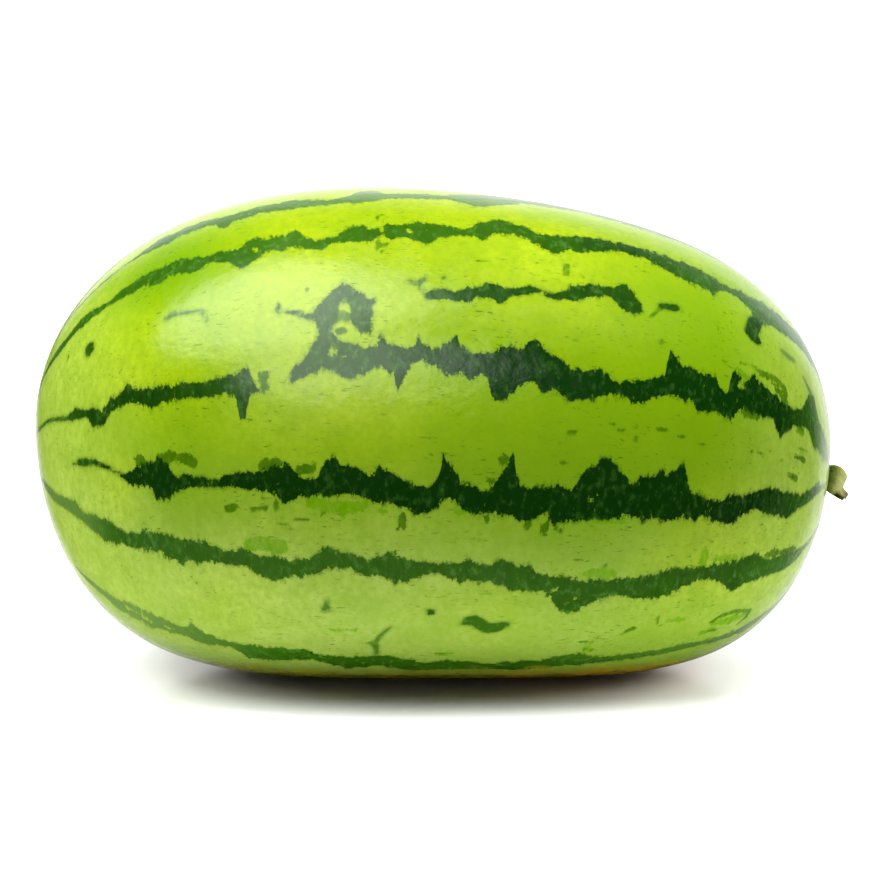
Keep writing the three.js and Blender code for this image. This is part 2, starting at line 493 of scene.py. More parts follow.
LAP = Stripe(
    above=(
        (-196, -14.5), (-191, -13), (-186, -13), (-180, -12), (-173, -11), (-171, -13.5), (-166, -14),
        (-162, -13.5), (-155, -14), (-151, -15.5), (-146, -16), (-136, -14.5), (-114, -15), (-106, -15.5),
        (-100, -17), (-90, -16), (-83, -17.5), (-59, -18), (-53, -15.5), (-50, -14.5), (-46, -16),
        (-35, -16.5), (-30, -18.5), (-26, -17), (-21, -16.5), (-18, -15), (-15, -16.5), (-6, -18),
        (13, -18.5), (17, -17), (28, -19), (34, -17), (43, -19), (49, -18.5), (53, -20.5), (69, -22),
        (83, -22.5), (107, -21.5), (115, -19.5), (148, -19), (158, -17.5), (164, -21), (175, -22), (185, -26),
        (195, -28),
    ),
    below=(
        (-196, -19), (-184, -17.5), (-178, -17), (-171, -17.5), (-166, -19), (-160, -21), (-150, -19.5),
        (-148, -20.5), (-137, -19.5), (-130, -20), (-123, -22), (-112, -20.5), (-90, -20.5), (-81, -23),
        (-76, -24.5), (-73, -23), (-56, -22), (-50, -20), (-42, -19.5), (-30, -22), (-22, -21.5),
        (-17, -23.5), (-9, -23), (-2, -21), (5, -21), (15, -23.5), (28, -23), (44, -25.5), (54, -25.5),
        (60, -28), (64, -31), (69, -32), (77, -29.5), (90, -26.5), (97, -27.5), (110, -29), (123, -26),
        (133, -23.5), (141, -24.5), (149, -30), (153, -28.5), (164, -28), (181, -31), (186, -29), (195, -31),
    ),
    strengths=(
        (-196, -0.8), (-170, -0.5), (-150, 0.2), (-60, 0.1), (30, 0.2), (100, 0.35), (150, 0.4), (175, 0),
        (195, -0.6),
    ),
)
HEM = Stripe(
    above=(
        (-180, -47), (-174, -45.5), (-168, -44.5), (-157, -44), (-153, -42), (-146, -42), (-140, -43),
        (-133, -44), (-125, -44.5), (-120, -41.5), (-117, -43.5), (-108, -46), (-95, -47.5), (-63, -47),
        (-56, -50), (-30, -50.5), (-26, -49), (-17, -50), (1, -53.5), (10, -51.5), (31, -54), (58, -52),
        (77, -49), (89, -51.5), (134, -50), (149, -51.5), (172, -52.5), (192, -56),
    ),
    below=(
        (-180, -48.5), (-166, -48), (-159, -49.5), (-141, -50.5), (-137, -49), (-123, -48.5), (-118, -50),
        (-101, -49.5), (-97, -51.5), (-93, -54.5), (-82, -54.5), (-60, -52.5), (-42, -58), (-25, -55.5),
        (-8, -59), (17, -57.5), (49, -59), (69, -56.5), (97, -54.5), (120, -53.5), (140, -53), (158, -56.5),
        (168, -58.5), (192, -60),
    ),
    strengths=(
        (-180, -1), (-150, -0.9), (-124, -0.5), (-90, -0.1), (-50, 0.2), (40, 0.1), (130, -0.3), (192, -0.7),
    ),
)

# The marks between the stripes and inside them, drawn as strokes. A group's strokes share their
# pigment, their shade and how ragged their edges are.
STROKES = {
    (Pigment.DARK, -0.5, 0.15): (
        ((179, 44.6, 1.6), (176.4, 46.8, 1.2), (174.5, 48.8, 0.8)),
    ),
    (Pigment.DARK, -0.3, 0.15): (
        ((-26.9, -43.1, 1.2), (-24.7, -40.6, 0.9), (-22.3, -38.9, 0.7), (-18.8, -36.8, 0.6)),
    ),
    (Pigment.DARK, 0, 0.15): (
        ((-26.5, -50, 1.1), (-26.5, -46.5, 1.1), (-26.9, -43.7, 1.5), (-30.1, -43.6, 1)),
    ),
    (Pigment.DARK, -0.7, 0.2): (
        ((161.6, 52.1, 1.1), (165, 52, 1.6), (168.5, 52.8, 1.1)),
    ),
    (Pigment.DARK, 0, 0.2): (
        ((-50.3, -28.5, 0.6), (-50.6, -30.1, 1.2), (-51.2, -31.4, 1.7)),
        ((-53.7, -31.9, 0.8), (-50, -31.7, 1.3)),
        ((17.1, -35.5, 1.4), (20, -34.7, 3), (23, -34.6, 3.4), (26.7, -35.8, 3.2)),
        ((25.7, -35.9, 3.2), (29.8, -37.3, 3.8), (34.3, -36.9, 3.4), (37.2, -36, 2.4), (39.1, -35.6, 1.4)),
    ),
    (Pigment.DARK, -0.1, 0.25): (
        ((-13.6, 46.5, 0.9), (-10, 46, 1.3), (-6, 47.3, 1.2)),
        ((-9, 45.8, 1), (-7.3, 44.2, 0.8), (-3.2, 42.7, 0.9)), ((2.4, 48.2, 1.2),),
        ((-123, 41.5, 0.8), (-120, 42.5, 1.1), (-111, 42, 1.1), (-106, 41.5, 1), (-104, 38.5, 0.7)),
    ),
    (Pigment.DARK, 0.4, 0.3): (
        ((-45, 41.5, 2.5), (-40.1, 40.9, 2.5), (-36.4, 39.1, 3), (-35.9, 35.9, 3)),
        ((-46.7, 40.2, 2.5), (-46.2, 37.7, 2.5), (-47.5, 34.7, 2)),
        ((-46, 30.4, 2), (-41, 29.7, 2.5), (-36.1, 29, 2.5)),
    ),
    (Pigment.DARK, 0.3, 0.35): (
        ((1, -32, 2.3),),
    ),
    (Pigment.DARK, 0.4, 0.35): (
        ((-71.4, 39, 1.6), (-70.9, 40.3, 1.3)),
    ),
    (Pigment.DARK, 0.45, 0.35): (
        ((-67.8, 38.6, 1.1), (-63.2, 38.2, 1.4), (-58.7, 37.4, 1.4), (-54.2, 36.7, 2)),
        ((-41.6, 44.9, 1.4), (-42, 46, 0.6)), ((-29.4, 40.7, 1.8), (-27.6, 41.4, 0.6)),
    ),
    (Pigment.DARK, 0.55, 0.35): (
        ((-161, 42.5, 3), (-161, 41, 3)),
    ),
    (Pigment.DARK, 0.6, 0.35): (
        ((-24.5, 29.8, 1.5), (-25, 31.4, 1), (-24.6, 33.3, 0.5)), ((101, 49, 2), (108, 49.5, 2.2)),
    ),
    (Pigment.DARK, 0.8, 0.35): (
        ((149, 60, 3.2), (147, 56, 4), (145, 51.5, 4.2), (148, 49.5, 2.8)),
    ),
    (Pigment.DARK, 0.45, 0.6): (
        ((-41.5, 43.9, 3), (-37, 42.2, 3.5), (-33.4, 40.4, 4.2), (-32.8, 37.4, 4.2), (-32.7, 34.7, 3.8),
         (-32.7, 33, 2.8)),
    ),
    (Pigment.DARK, 0.5, 0.6): (
        ((-41.5, 43.9, 3), (-46.8, 41.5, 3.5), (-50.7, 38.7, 3.8), (-51.1, 36.2, 4), (-50.2, 33.3, 3.2),
         (-50.1, 30.7, 3.8), (-52.8, 28.1, 4.2), (-56.3, 25.9, 4.5), (-59.9, 24.6, 4), (-64.4, 23.2, 2.5)),
    ),
    (Pigment.DARK, 0.55, 0.6): (
        ((-48.8, 32.5, 2), (-44.2, 29.9, 2.5), (-38.8, 28.3, 3), (-32.5, 27.9, 3.5), (-26.2, 28, 3.2),
         (-20, 28.7, 4)),
        ((-51.3, 27.2, 3), (-45.5, 26.3, 3.5), (-41, 25.4, 4.8), (-36.5, 25.2, 5.2), (-31.6, 26.3, 4.5),
         (-25.4, 27.5, 4)),
    ),
    (Pigment.BARE, 0, 0.35): (
        ((-42.7, 40.2, 1.3), (-40.5, 39.6, 1.7), (-41.3, 38.1, 1.7), (-43.1, 38.4, 1)),
        ((-45.7, 34.7, 1.3), (-41.2, 34.6, 1.7), (-37.6, 34, 1.5), (-37.1, 32.3, 1.3), (-40.7, 31.8, 1.5),
         (-45.2, 32.3, 1.4)),
        ((-36.7, 32, 0.9), (-33.5, 30.9, 1), (-29.9, 29.7, 1)), ((-31.8, 32.3, 1.1), (-27.3, 31.4, 1.3)),
        ((-47.3, 28.1, 1.2), (-45.6, 28.3, 0.9)), ((-26.9, 66.8, 1), (-25.8, 63.4, 1.2), (-25.6, 59.2, 1.2)),
        ((-153, -45.3, 1.2), (-149, -45.5, 1.5), (-146, -46, 1.5), (-142, -47.3, 1)),
        ((-134, -47, 0.9), (-130, -47, 0.9)), ((140.8, 31.9, 1.1), (142.8, 31.1, 1)), ((123.8, 28, 0.5),),
        ((72.5, -2.4, 0.6), (74.6, -2.1, 0.9), (76, -1.5, 0.8)), ((-84, 58.3, 0.9), (-81, 58, 0.8)),
        ((-15, 63, 0.7), (-10, 63.3, 0.7)), ((66, -29, 1.4),), ((72, -28, 1.1),), ((61, -25, 0.7),),
        ((-18, -17.5, 0.7),),
    ),
    (Pigment.MID, 0.9, 0.15): (
        ((142.1, -41, 1.3), (147.1, -39, 1.3), (153.6, -39.2, 1.5), (162, -42.5, 1.3), (160.9, -45.8, 1.1),
         (156.9, -47.7, 0.9)),
    ),
    (Pigment.MID, 0.9, 0.2): (
        ((101, 48.5, 1.2), (96, 44.5, 0.7)), ((115, 48.5, 1.2),), ((122, 40, 1),),
        ((126, 49, 0.7), (129, 47, 0.7)), ((132, 37, 0.7), (135, 36, 0.7)), ((89, 61, 0.7), (93, 60, 0.7)),
        ((16, 54, 0.6), (24, 54.5, 0.6)), ((11, -12.5, 0.6), (25, -12.5, 0.6)),
        ((-73, -9, 1.1), (-66, -10.5, 1)), ((-65, -8, 1), (-58, -8.5, 0.9)),
        ((113, -35.5, 0.7), (116, -38.5, 0.7)), ((68, -17, 0.8), (73, -17, 0.8)), ((84.5, -18, 0.9),),
        ((4, -48, 0.6), (13, -48, 0.6)), ((80, -46.5, 1.2), (86, -47.5, 1.2)),
        ((138, -45, 1.2), (146, -46, 1.2)), ((-173, 46, 0.8), (-173, 44, 0.8)), ((-64.3, -36.2, 0.6),),
        ((-97.2, -29.5, 0.7),), ((115, -34.3, 0.8), (114.1, -36.5, 0.7)),
        ((130.8, 37, 0.7), (135.4, 35.8, 0.7)),
    ),
    (Pigment.MID, 0.95, 0.2): (
        ((-45.3, 37.9, 1.8), (-41.7, 37.6, 2.2), (-38.1, 36.9, 2)), ((-44.8, 36.6, 1.6), (-41.3, 36.4, 1.8)),
        ((-43.9, 33.5, 2), (-42.1, 33.5, 2.1)),
    ),
    (Pigment.MID, 0.9, 0.25): (
        ((-96, -6.5, 2), (-93, -6, 2)), ((-85, -6.5, 1.3), (-78, -6, 1.3)), ((-80, -4, 1), (-76, -4, 1)),
        ((-73, -4.5, 1.4), (-73, -6.5, 1.2)), ((61.1, 12.7, 1), (64.7, 12.9, 1.3)),
        ((79.1, 16.3, 0.8), (81.9, 15.7, 0.8)), ((84.5, 14.2, 1), (86.4, 14.3, 1)),
        ((89.5, 15.1, 0.8), (92.7, 15.3, 0.8)), ((92.7, 12.7, 1.5),), ((77.1, 10.4, 1),),
        ((59.2, 6.2, 1.2), (61.5, 6.1, 1.2)), ((102.6, 15.6, 1), (106.9, 15.6, 0.8)),
        ((113.3, 14.6, 1), (115.2, 14.4, 0.8)), ((149.1, 13.1, 1.1),),
        ((152.6, 13.4, 0.9), (154.9, 12.5, 1.1)), ((158.3, 14.1, 1),), ((164.6, 12.3, 1),),
        ((123.1, 13.2, 1), (125.6, 13.1, 0.8)),
    ),
    (Pigment.MID, 0.6, 0.35): (
        ((137.8, 36.3, 1), (140.9, 35.4, 1.5), (144.1, 33.9, 2)),
    ),
    (Pigment.MID, 0.7, 0.35): (
        ((173.9, 18, 0.9), (178.8, 17.7, 1)), ((171.8, 24.3, 1.5), (175.5, 23.9, 1.3)),
    ),
    (Pigment.MID, 0.85, 0.35): (
        ((-27, 24.8, 1.5), (-25.7, 25.9, 1.5)), ((-58, 44.2, 1.3),),
        ((-29.4, 63.4, 0.8), (-26.9, 60.6, 0.9), (-27.8, 56.7, 1.2), (-24.6, 54.4, 0.9)),
        ((-28.7, 66.3, 1), (-27.3, 69.5, 0.9), (-24.3, 69.1, 0.8)),
        ((-22.1, 59.2, 1), (-23.8, 57.1, 1), (-26.9, 58.1, 0.9)), ((57, 53, 1.5), (57, 56.5, 1.5)),
    ),
    (Pigment.MID, 0.9, 0.35): (
        ((-39.4, 33, 0.8),), ((-31.7, 31.1, 0.7), (-29.4, 30.4, 0.7)), ((101, 38, 1.5),),
        ((76.6, -43.2, 0.8), (83.1, -42.9, 0.9), (91, -42.4, 0.7)),
        ((97.1, -40.6, 0.9), (102.6, -38.4, 1.2)), ((185, 1, 1.3), (186, 3, 1.4), (189, 5, 1.2)),
        ((139.7, 38.7, 0.9), (145.8, 39, 1), (152.1, 38.5, 1.2), (158.1, 38.5, 1.5), (162.5, 37.2, 1.8),
         (164.4, 34.5, 1.7)),
        ((144.5, 25.7, 1.5), (147.8, 24.1, 2), (152.4, 24.9, 1.5)), ((75.2, 2.3, 0.9), (76, 0.7, 0.9)),
        ((82.8, 1.8, 1.3), (84.8, -1.2, 1.2)), ((88.4, -0.3, 1.3),), ((77.2, -3.7, 1), (80.2, -4.3, 1)),
    ),
    (Pigment.MID, 0.95, 0.35): (
        ((172.6, 14.8, 1.3), (178.2, 13.9, 1.1)), ((169.3, 8, 1.5), (174.1, 6.5, 1.7)),
    ),
    (Pigment.MID, 0.45, 0.8): (
        ((-56, -4.5, 3), (-49, -5.5, 3.6), (-41, -5.5, 3.4), (-31, -4.5, 2)),
        ((25.6, -26.1, 1.5), (31, -26.1, 1.5)), ((75.9, -20.6, 2.2), (82, -20, 2.8), (87.9, -20.6, 2.5)),
        ((120.2, -37, 1.1), (130.6, -37, 1.2)), ((81.7, -43.4, 1.5), (81.7, -47.7, 2.2)),
        ((144.3, -41.5, 2), (152.2, -43.2, 3), (158.3, -43.8, 2)), ((138, -45.8, 1.5), (143.6, -44.3, 1.5)),
        ((6.4, -48.8, 1.5), (10.4, -48.2, 1.5)), ((99.8, -0.3, 2.5),), ((67.2, -2.9, 3),),
        ((143, 39, 0.8), (150, 38, 0.8)), ((-42, -8.5, 1), (-42, -6, 1.5)), ((-25, -6, 1.8),),
        ((-22, -6.5, 2.2),), ((12, -5.5, 1.5), (18, -5.5, 1.5)), ((76, -7, 1.2), (90, -7, 1.2)),
        ((-87, -15, 3.4), (-80, -14.6, 4), (-72, -15.2, 4)), ((132, -15.5, 2.4), (132, -18.5, 3.2)),
        ((139, -17.5, 2.4), (147, -18, 2)), ((-48, -38.5, 1), (-38, -38.5, 1)),
    ),
    (Pigment.MID, 0.95, 0.8): (
        ((-77.5, 24, 2.3), (-77.5, 20.5, 2.3)), ((144, 24.5, 3.4), (150, 25, 3.4)), ((174, 25, 2),),
        ((150, 38, 0.9), (156, 36.5, 1.5), (161, 34.5, 2.2), (164.5, 32, 2.4)),
        ((-138, 5, 2.3), (-136, 3, 2.5)),
        ((-127, 4.5, 2.8), (-122, 5.2, 3), (-116, 5.2, 2.8), (-112, 4.4, 3.2)),
        ((-80, 3.8, 2.6), (-72, 3.8, 2.6)), ((-62, 2.5, 2.4), (-57, 3, 2.6)), ((-51, -7.5, 1), (-50, -6, 1)),
        ((-14, -7, 2.4), (-14, -9.5, 2.4)), ((26, -6.5, 1.8), (26, -8, 1.2)),
        ((45, -8, 1.8), (45, -9.5, 1.3)), ((53, -8.5, 2), (53, -10, 1.6)), ((60, -9, 1.5),), ((32, 6, 2.6),),
        ((27, 1, 2.4),), ((165, -19.5, 2.4), (172, -21, 2.4), (180, -23.5, 2)),
    ),
}

# Where the light skin is sunnier or leafier, and in places painted light and shade, such as the
# painted bounce light low towards the stem: (mm along, degrees round, reach in mm, amount).
TONES = (
    (135, -12, 40, 0.45), (-150, -6, 18, 0.5), (-140, 33, 24, 0.6), (-30, 22, 36, 0.4),
    (-75, 20, 30, 0.2), (-110, -28, 34, 0.25), (60, 5, 48, -0.5), (20, 30, 24, -0.25),
    (120, 42, 36, -0.45), (-112, 60, 36, -0.85), (-141, 58, 28, -0.6), (50, 57, 26, 0.3),
    (30, -28, 30, 0.2), (-150, -25, 36, -0.35), (-112, -8, 24, -0.4), (150, 25, 36, -0.3),
)


@dataclass(frozen=True)
class WildStripes:
    """The stripes of the side that lies away, each grown at random about its own angle."""

    angles: tuple[float, ...] = (112, 137, 161, 184, 207, 231, 252)
    half_width: float = 3.2
    swelling: tuple[float, float] = (0.5, 1.5)
    swelling_steps: int = 7
    unevenness: tuple[float, float] = (0.75, 1.25)
    wander: float = 1.6
    drift: float = 0.5
    step: float = 5.5
    reach: float = 192
    latest_start: float = 25
    spike_share: float = 0.22
    spike: float = 4.0
    spikes: tuple[float, float] = (0.3, 1)
    tapering: float = 45
    tip_share: float = 0.3
    shades: tuple[float, float] = (0.6, 1.0)
    end_shades: tuple[float, float, float, float] = (-0.9, 0.4, 0.5, -0.7)
    seed: int = 11

    def grow(self) -> list[Stripe]:
        """Makes the stripes.

        Returns:
            The stripes, with ragged edges whose places come from the seed.
        """
        rng = np.random.default_rng(self.seed)
        full = self.reach - self.tapering
        stripes = []
        for angle in self.angles:
            alongs = np.arange(-self.reach + rng.uniform(0, self.latest_start), self.reach, self.step)
            count, steps = len(alongs), self.swelling_steps
            middle = angle + self.wander * np.tanh(np.cumsum(rng.normal(0, self.drift, count)) / 2)
            swelling = rng.uniform(*self.swelling, count + steps - 1)
            swelling = np.convolve(swelling, np.ones(steps) / steps, "valid")
            from_end = np.minimum(alongs - alongs[0], alongs[-1] - alongs)
            taper = np.clip(from_end / self.tapering, self.tip_share, 1)
            edges = []
            for way in (1, -1):
                spikes = np.where(rng.random(count) < self.spike_share, rng.uniform(*self.spikes, count), 0)
                half = self.half_width * swelling * rng.uniform(*self.unevenness, count)
                edges.append(tuple(zip(alongs, middle + way * (half + self.spike * spikes) * taper)))
            shade = rng.uniform(*self.shades)
            tip, start, end, far_tip = self.end_shades
            strengths = ((-self.reach, tip), (-full, start), (0, shade), (full, end), (self.reach, far_tip))
            stripes.append(Stripe(*edges, strengths))
        return stripes


class Painter:
    """Works out, for each vertex, how far it is inside the dark marks and the green ones."""

    # The angle about each pole, in radians, in which the grain's rings flatten out.
    POLE_EASE = 0.45

    # How far out along the fruit the dark marks grow less ragged, and what is left of it there.
    CALMING = ((0.7, 0.95), (1.0, 0.5))

    def __init__(self, skin: Skin) -> None:
        """Starts with a bare skin.

        Args:
            skin: The fruit's skin.
        """
        self.skin = skin
        self.layers = {name: np.full(len(skin.along), value) for name, value in LAYERS.items()}

    def tint(self, along: float, angle: float, reach: float, amount: float) -> None:
        """Makes the light skin sunnier about a place, or leafier if the amount is below 0; in places it is
        painted light and shade.
        """
        away = np.linalg.norm(self.skin.places - self.skin.place(along, angle), axis=1)
        self.layers["tone"] += amount * np.exp(-((away / reach) ** 2))

    def paint(self, mark: Stripe | Stroke) -> None:
        """Adds a mark, or bares the skin under it.

        Args:
            mark: The mark.
        """
        cover = mark.cover(self.skin)
        if mark.pigment is Pigment.BARE:
            for name in ("dark", "mid"):
                self.layers[name] = np.minimum(self.layers[name], -cover)
            return
        name = mark.pigment.value
        nearer = cover > self.layers[name]
        for part, values in zip(("", "_strength", "_ragged"), (cover, *mark.look(self.skin))):
            self.layers[name + part][nearer] = values[nearer]

    def store(self, mesh: bpy.types.Mesh) -> None:
        """Writes the marks and the skin's own coordinates to a mesh.

        Args:
            mesh: The mesh that the skin was read from.
        """
        skin, layers = self.skin, self.layers
        layers["dark_ragged"] = layers["dark_ragged"] * np.interp(np.abs(skin.growth[:, 0]), *self.CALMING)
        for name in ("dark", "mid"):
            layers[name] = np.clip(layers[name], -FARTHEST, FARTHEST)
        for name, values in layers.items():
            mesh.attributes.new(name, "FLOAT", "POINT").data.foreach_set("value", values.astype(np.float32))
        polar = np.arccos(np.clip(skin.growth[:, 0], -1, 1))
        from_pole = np.minimum(polar, math.pi - polar)
        eased = (self.POLE_EASE + from_pole**2 / self.POLE_EASE) / 2
        eased = np.where(from_pole < self.POLE_EASE, eased, from_pole)
        run = skin.half_length * np.sign(math.pi / 2 - polar) * (math.pi / 2 - eased)
        turn = np.radians(skin.angle)
        grain = np.stack([run, -skin.hoop * np.cos(turn), skin.hoop * np.sin(turn)], axis=1)
        stored = mesh.attributes.new("grain", "FLOAT_VECTOR", "POINT")
        stored.data.foreach_set("vector", grain.astype(np.float32).ravel())


@dataclass(frozen=True)
class Pattern:
    """Noise on the skin: its features' sizes along and round the fruit, in millimetres.

    The shift moves it off the other patterns, and the reading is how its grey is read.
    """

    along: float
    round: float
    detail: float
    shift: float
    reading: Span = (0.0, 1.0, 0.0, 1.0)


@dataclass(frozen=True)
class Rind:
    """Waxy watermelon rind: a smooth skin whose cuticle gives a soft, broad sheen.

    The dark stripes end in fine teeth that run round the fruit, and the light skin between
    them is mottled with short green veins. The skin's colours are (how far the skin faces up,
    colour), and they paint light and shade: the skin is lighter and yellower on top and darkest at
    the waist, paler below, partly its own paler underside and partly a painted reflection of the
    floor, and darker again at the very bottom, which is painted shade. The light skin grows greener
    along the fruit by (slope, amount in the middle), partly as painted shade towards the stem. The
    edge is half the width over which a mark fades in. It, the halo about the dark marks, the pore
    and the depths are in millimetres, the spot's height is in metres, and a reach along the fruit
    is a share of half its length.
    """

    # Painted light and shade by how far the skin faces up: lighter on top, darkest at the waist, a painted
    # floor reflection below, and darker at the very bottom.
    skin: tuple[tuple[float, str], ...] = (
        (-0.86, "78893a"), (-0.62, "889e48"), (-0.3, "9ab048"),
        (0.05, "6e9204"), (0.45, "87a304"), (0.8, "95a506"),
    )
    leafy: str = "628704"
    sunny: str = "a6b91c"
    pale: str = "a9bd52"
    mid: str = "345800"
    worn: str = "4a7a2c"
    blush: str = "5c8c00"
    faded: str = "5e7c34"
    dark: str = "2b5305"
    darkest: str = "062a01"
    ground: str = "827a12"
    rust: str = "a8841a"
    scar: str = "6d5637"
    collar: str = "9aa552"
    teeth: Pattern = Pattern(2.6, 5.5, 4.0, 0.0)
    bites: Pattern = Pattern(9.0, 9.0, 2.0, 37.0)
    fray: Pattern = Pattern(1.1, 1.1, 2.0, 19.0)
    clouds: Pattern = Pattern(60.0, 60.0, 1.0, 5.0)
    blotches: Pattern = Pattern(14.0, 18.2, 4.0, 17.0, (0.42, 0.62, 0.0, 0.25))
    mottle: Pattern = Pattern(3.2, 4.16, 4.0, 11.0, (0.35, 0.7, 0.0, 0.4))
    veins: Pattern = Pattern(5.0, 1.3, 2.0, 71.0, (0.59, 0.74, 0.0, 1.0))
    vein_beds: Pattern = Pattern(28.0, 22.0, 1.0, 53.0, (0.4, 0.58, 0.1, 0.72))
    depths: Pattern = Pattern(5.0, 13.0, 3.0, 23.0)
    wear: Pattern = Pattern(3.4, 5.0, 2.5, 47.0, (0.48, 0.78, 0.0, 1.0))
    flecks: Pattern = Pattern(1.8, 4.0, 1.0, 91.0, (0.7, 0.8, 1.0, 0.6))
    streaks: Pattern = Pattern(3.0, 8.0, 3.0, 29.0, (0.35, 0.62, 0.0, 1.0))
    spot_edge: Pattern = Pattern(16.0, 10.0, 3.0, 43.0)
    cork: Pattern = Pattern(2.2, 2.2, 3.0, 83.0)
    waves: Pattern = Pattern(11.0, 9.0, 3.0, 13.0)
    bloom: Pattern = Pattern(9.0, 9.0, 3.0, 61.0, (0.3, 0.7, 0.13, 0.22))
    busyness: float = 0.6
    edge_depths: tuple[tuple[str, float], ...] = (("teeth", 3.6), ("bites", 3.0), ("fray", 1.6))
    edge: float = 0.65
    halo: Span = (-2.2, 0.4, 0.0, 0.45)
    halo_raggedness: float = 1.4
    greener_along: tuple[float, float] = (0.45, -0.15)
    cloudiness: float = 0.8
    pale_reach: Span = (0.62, 0.97, 0.0, 0.58)
    deepening: float = 0.7
    most_worn: Span = (0.3, 1.0, 0.52, 0.25)
    greenest: Span = (0.4, 1.0, 0.0, 1.0)
    thinnest: Span = (0.4, 1.0, 0.5, 0.88)
    spot_height: Span = (-0.001, 0.01, 0.9, 0.0)
    spot_raggedness: float = -0.02
    rust_reach: Span = (0.08, 0.4, 0.0, 1.0)
    scar_reach: Span = (-0.99905, -0.9984, 1.0, 0.0)
    scar_raggedness: float = 0.0012
    collar_reach: Span = (0.997, 0.9995, 0.0, 0.75)
    pore: float = 0.9
    pore_depth: float = 0.1
    pore_strength: float = 0.12
    wave_depth: float = 0.3
    ior: float = 1.34

    def make(self) -> bpy.types.Material:
        """Builds the material.

        Returns:
            The material, which reads the piece's own attributes.
        """
        material, add = new_finish("watermelon_rind")
        layer = partial(layer_colours, material.node_tree)
        dark, strength, ragged, mid, mid_strength, mid_ragged, tone, grain, growth = (
            add(ATTRIBUTE, {"attribute_name": name}).outputs["Vector" if name in ("grain", GROWTH) else "Fac"]
            for name in (*LAYERS, "grain", GROWTH)
        )
        place = add(PLACE).outputs["Object"]
        length, _, facing_up = add(APART, None, [growth]).outputs
        noise = {}
        for name, pattern in vars(self).items():
            if isinstance(pattern, Pattern):
                scales = (1 / pattern.along, 1 / pattern.round, 1 / pattern.round)
                scaled = add(VECTOR_MATH, TIMES_PLUS, [grain, scales, (pattern.shift,) * 3])
                noise[name] = add(NOISE, None, {
                    "Vector": scaled, "Scale": 1.0, "Detail": pattern.detail, "Roughness": self.busyness,
                })

        # The edges of the marks, roughened by teeth, by larger bites and by a fine fray.
        rough = 0.0
        for name, depth in self.edge_depths:
            rough = add(MATH, PLUS, [rough, add(MATH, TIMES_PLUS, [noise[name], 2 * depth, -depth])])
        mid_edge = add(MATH, TIMES_PLUS, [rough, mid_ragged, mid])
        rough = add(MATH, TIMES, [rough, ragged])
        dark_edge = add(MATH, PLUS, [dark, rough])
        halo_edge = add(MATH, TIMES_PLUS, [rough, self.halo_raggedness, dark])

        # The light skin: painted light makes it lighter and yellower on top, and painted shade makes it
        # darkest at the waist and at the very bottom; below, it is paler, partly its own paler underside
        # and partly a painted reflection of the floor. It is greener near the stem, partly as painted
        # shade, pale at both ends, mottled, and veined in patches.
        ramp = add("ShaderNodeValToRGB", None, [add(MATH, TIMES_PLUS, [facing_up, 0.5, 0.5])])
        ramp.color_ramp.interpolation = "B_SPLINE"
        for stop, (height, colour) in enumerate(self.skin):
            element = ramp.color_ramp.elements[stop] if stop < 2 else ramp.color_ramp.elements.new(1.0)
            element.position = 0.5 + 0.5 * height
            element.color = linear(colour)
        greener = add(MATH, TIMES_PLUS, [length, *self.greener_along])
        far_out = add(MATH, SIZE_OF, [length])
        veins = add(SPAN, SMOOTH, [noise["veins"], *self.veins.reading])
        vein_beds = add(SPAN, None, [noise["vein_beds"], *self.vein_beds.reading])
        skin = layer(ramp.outputs[0], [
            # Greener towards the stem, partly as painted shade, with cloudy tone of its own.
            (add(MATH, TIMES_PLUS | CLAMPED, [noise["clouds"], self.cloudiness, greener]), self.leafy),
            (add(SPAN, None, [tone, 0.0, -1.0]), self.leafy),
            # Tones above 0: sunnier skin, and in places painted bounce light.
            (add(SPAN, None, [tone, 0.0, 1.0]), self.sunny),
            (add(SPAN, SMOOTH, [far_out, *self.pale_reach]), self.pale),
            (add(SPAN, None, [noise["blotches"], *self.blotches.reading]), self.leafy),
            (add(SPAN, None, [noise["mottle"], *self.mottle.reading]), self.leafy),
            (add(MATH, TIMES, [veins, vein_beds]), self.dark),
        ])

        # The dark pigment: deeper and shallower streaks, worn patches and light flecks.
        deeper = add(MATH, MINUS, [noise["depths"], 0.5])
        worn = add(SPAN, SMOOTH, [noise["wear"], *self.wear.reading])
        most_worn = add(SPAN, None, [strength, *self.most_worn])
        pigment = layer(self.dark, [
            (add(MATH, TIMES_PLUS | CLAMPED, [deeper, self.deepening, strength]), self.darkest),
            (add(MATH, TIMES, [worn, most_worn]), self.worn),
            (add(SPAN, None, [strength, 0.0, -1.0]), self.faded),
        ])
        dark_share = add(SPAN, SMOOTH, [dark_edge, -self.edge, self.edge])
        flecks = add(SPAN, SMOOTH, [noise["flecks"], *self.flecks.reading])

        # The green pigment, which is streaky and thinner where it is weak.
        green = layer(self.blush, [(add(SPAN, None, [mid_strength, *self.greenest]), self.mid)])
        mid_share = add(SPAN, SMOOTH, [mid_edge, -self.edge, self.edge])
        thinnest = add(SPAN, None, [mid_strength, *self.thinnest])
        streaks = add(SPAN, None, [noise["streaks"], *self.streaks.reading[:2], thinnest])

        # The ground spot, rusty towards the stem, the corky scar and the pale collar round the stem.
        height = add(APART, None, [place]).outputs["Z"]
        spot = add(MATH, TIMES_PLUS, [noise["spot_edge"], self.spot_raggedness, height])
        ground = layer(self.ground, [(add(SPAN, SMOOTH, [length, *self.rust_reach]), self.rust)])
        cork = add(MATH, TIMES_PLUS, [noise["cork"], self.scar_raggedness, length])
        skin = layer(skin, [
            (add(SPAN, SMOOTH, [halo_edge, *self.halo]), self.mid),
            (add(MATH, TIMES, [mid_share, streaks]), green),
            (add(MATH, TIMES, [dark_share, flecks]), pigment),
            (add(SPAN, SMOOTH, [spot, *self.spot_height]), ground),
            (add(SPAN, SMOOTH, [cork, *self.scar_reach]), self.scar),
            (add(SPAN, SMOOTH, [length, *self.collar_reach]), self.collar),
        ])

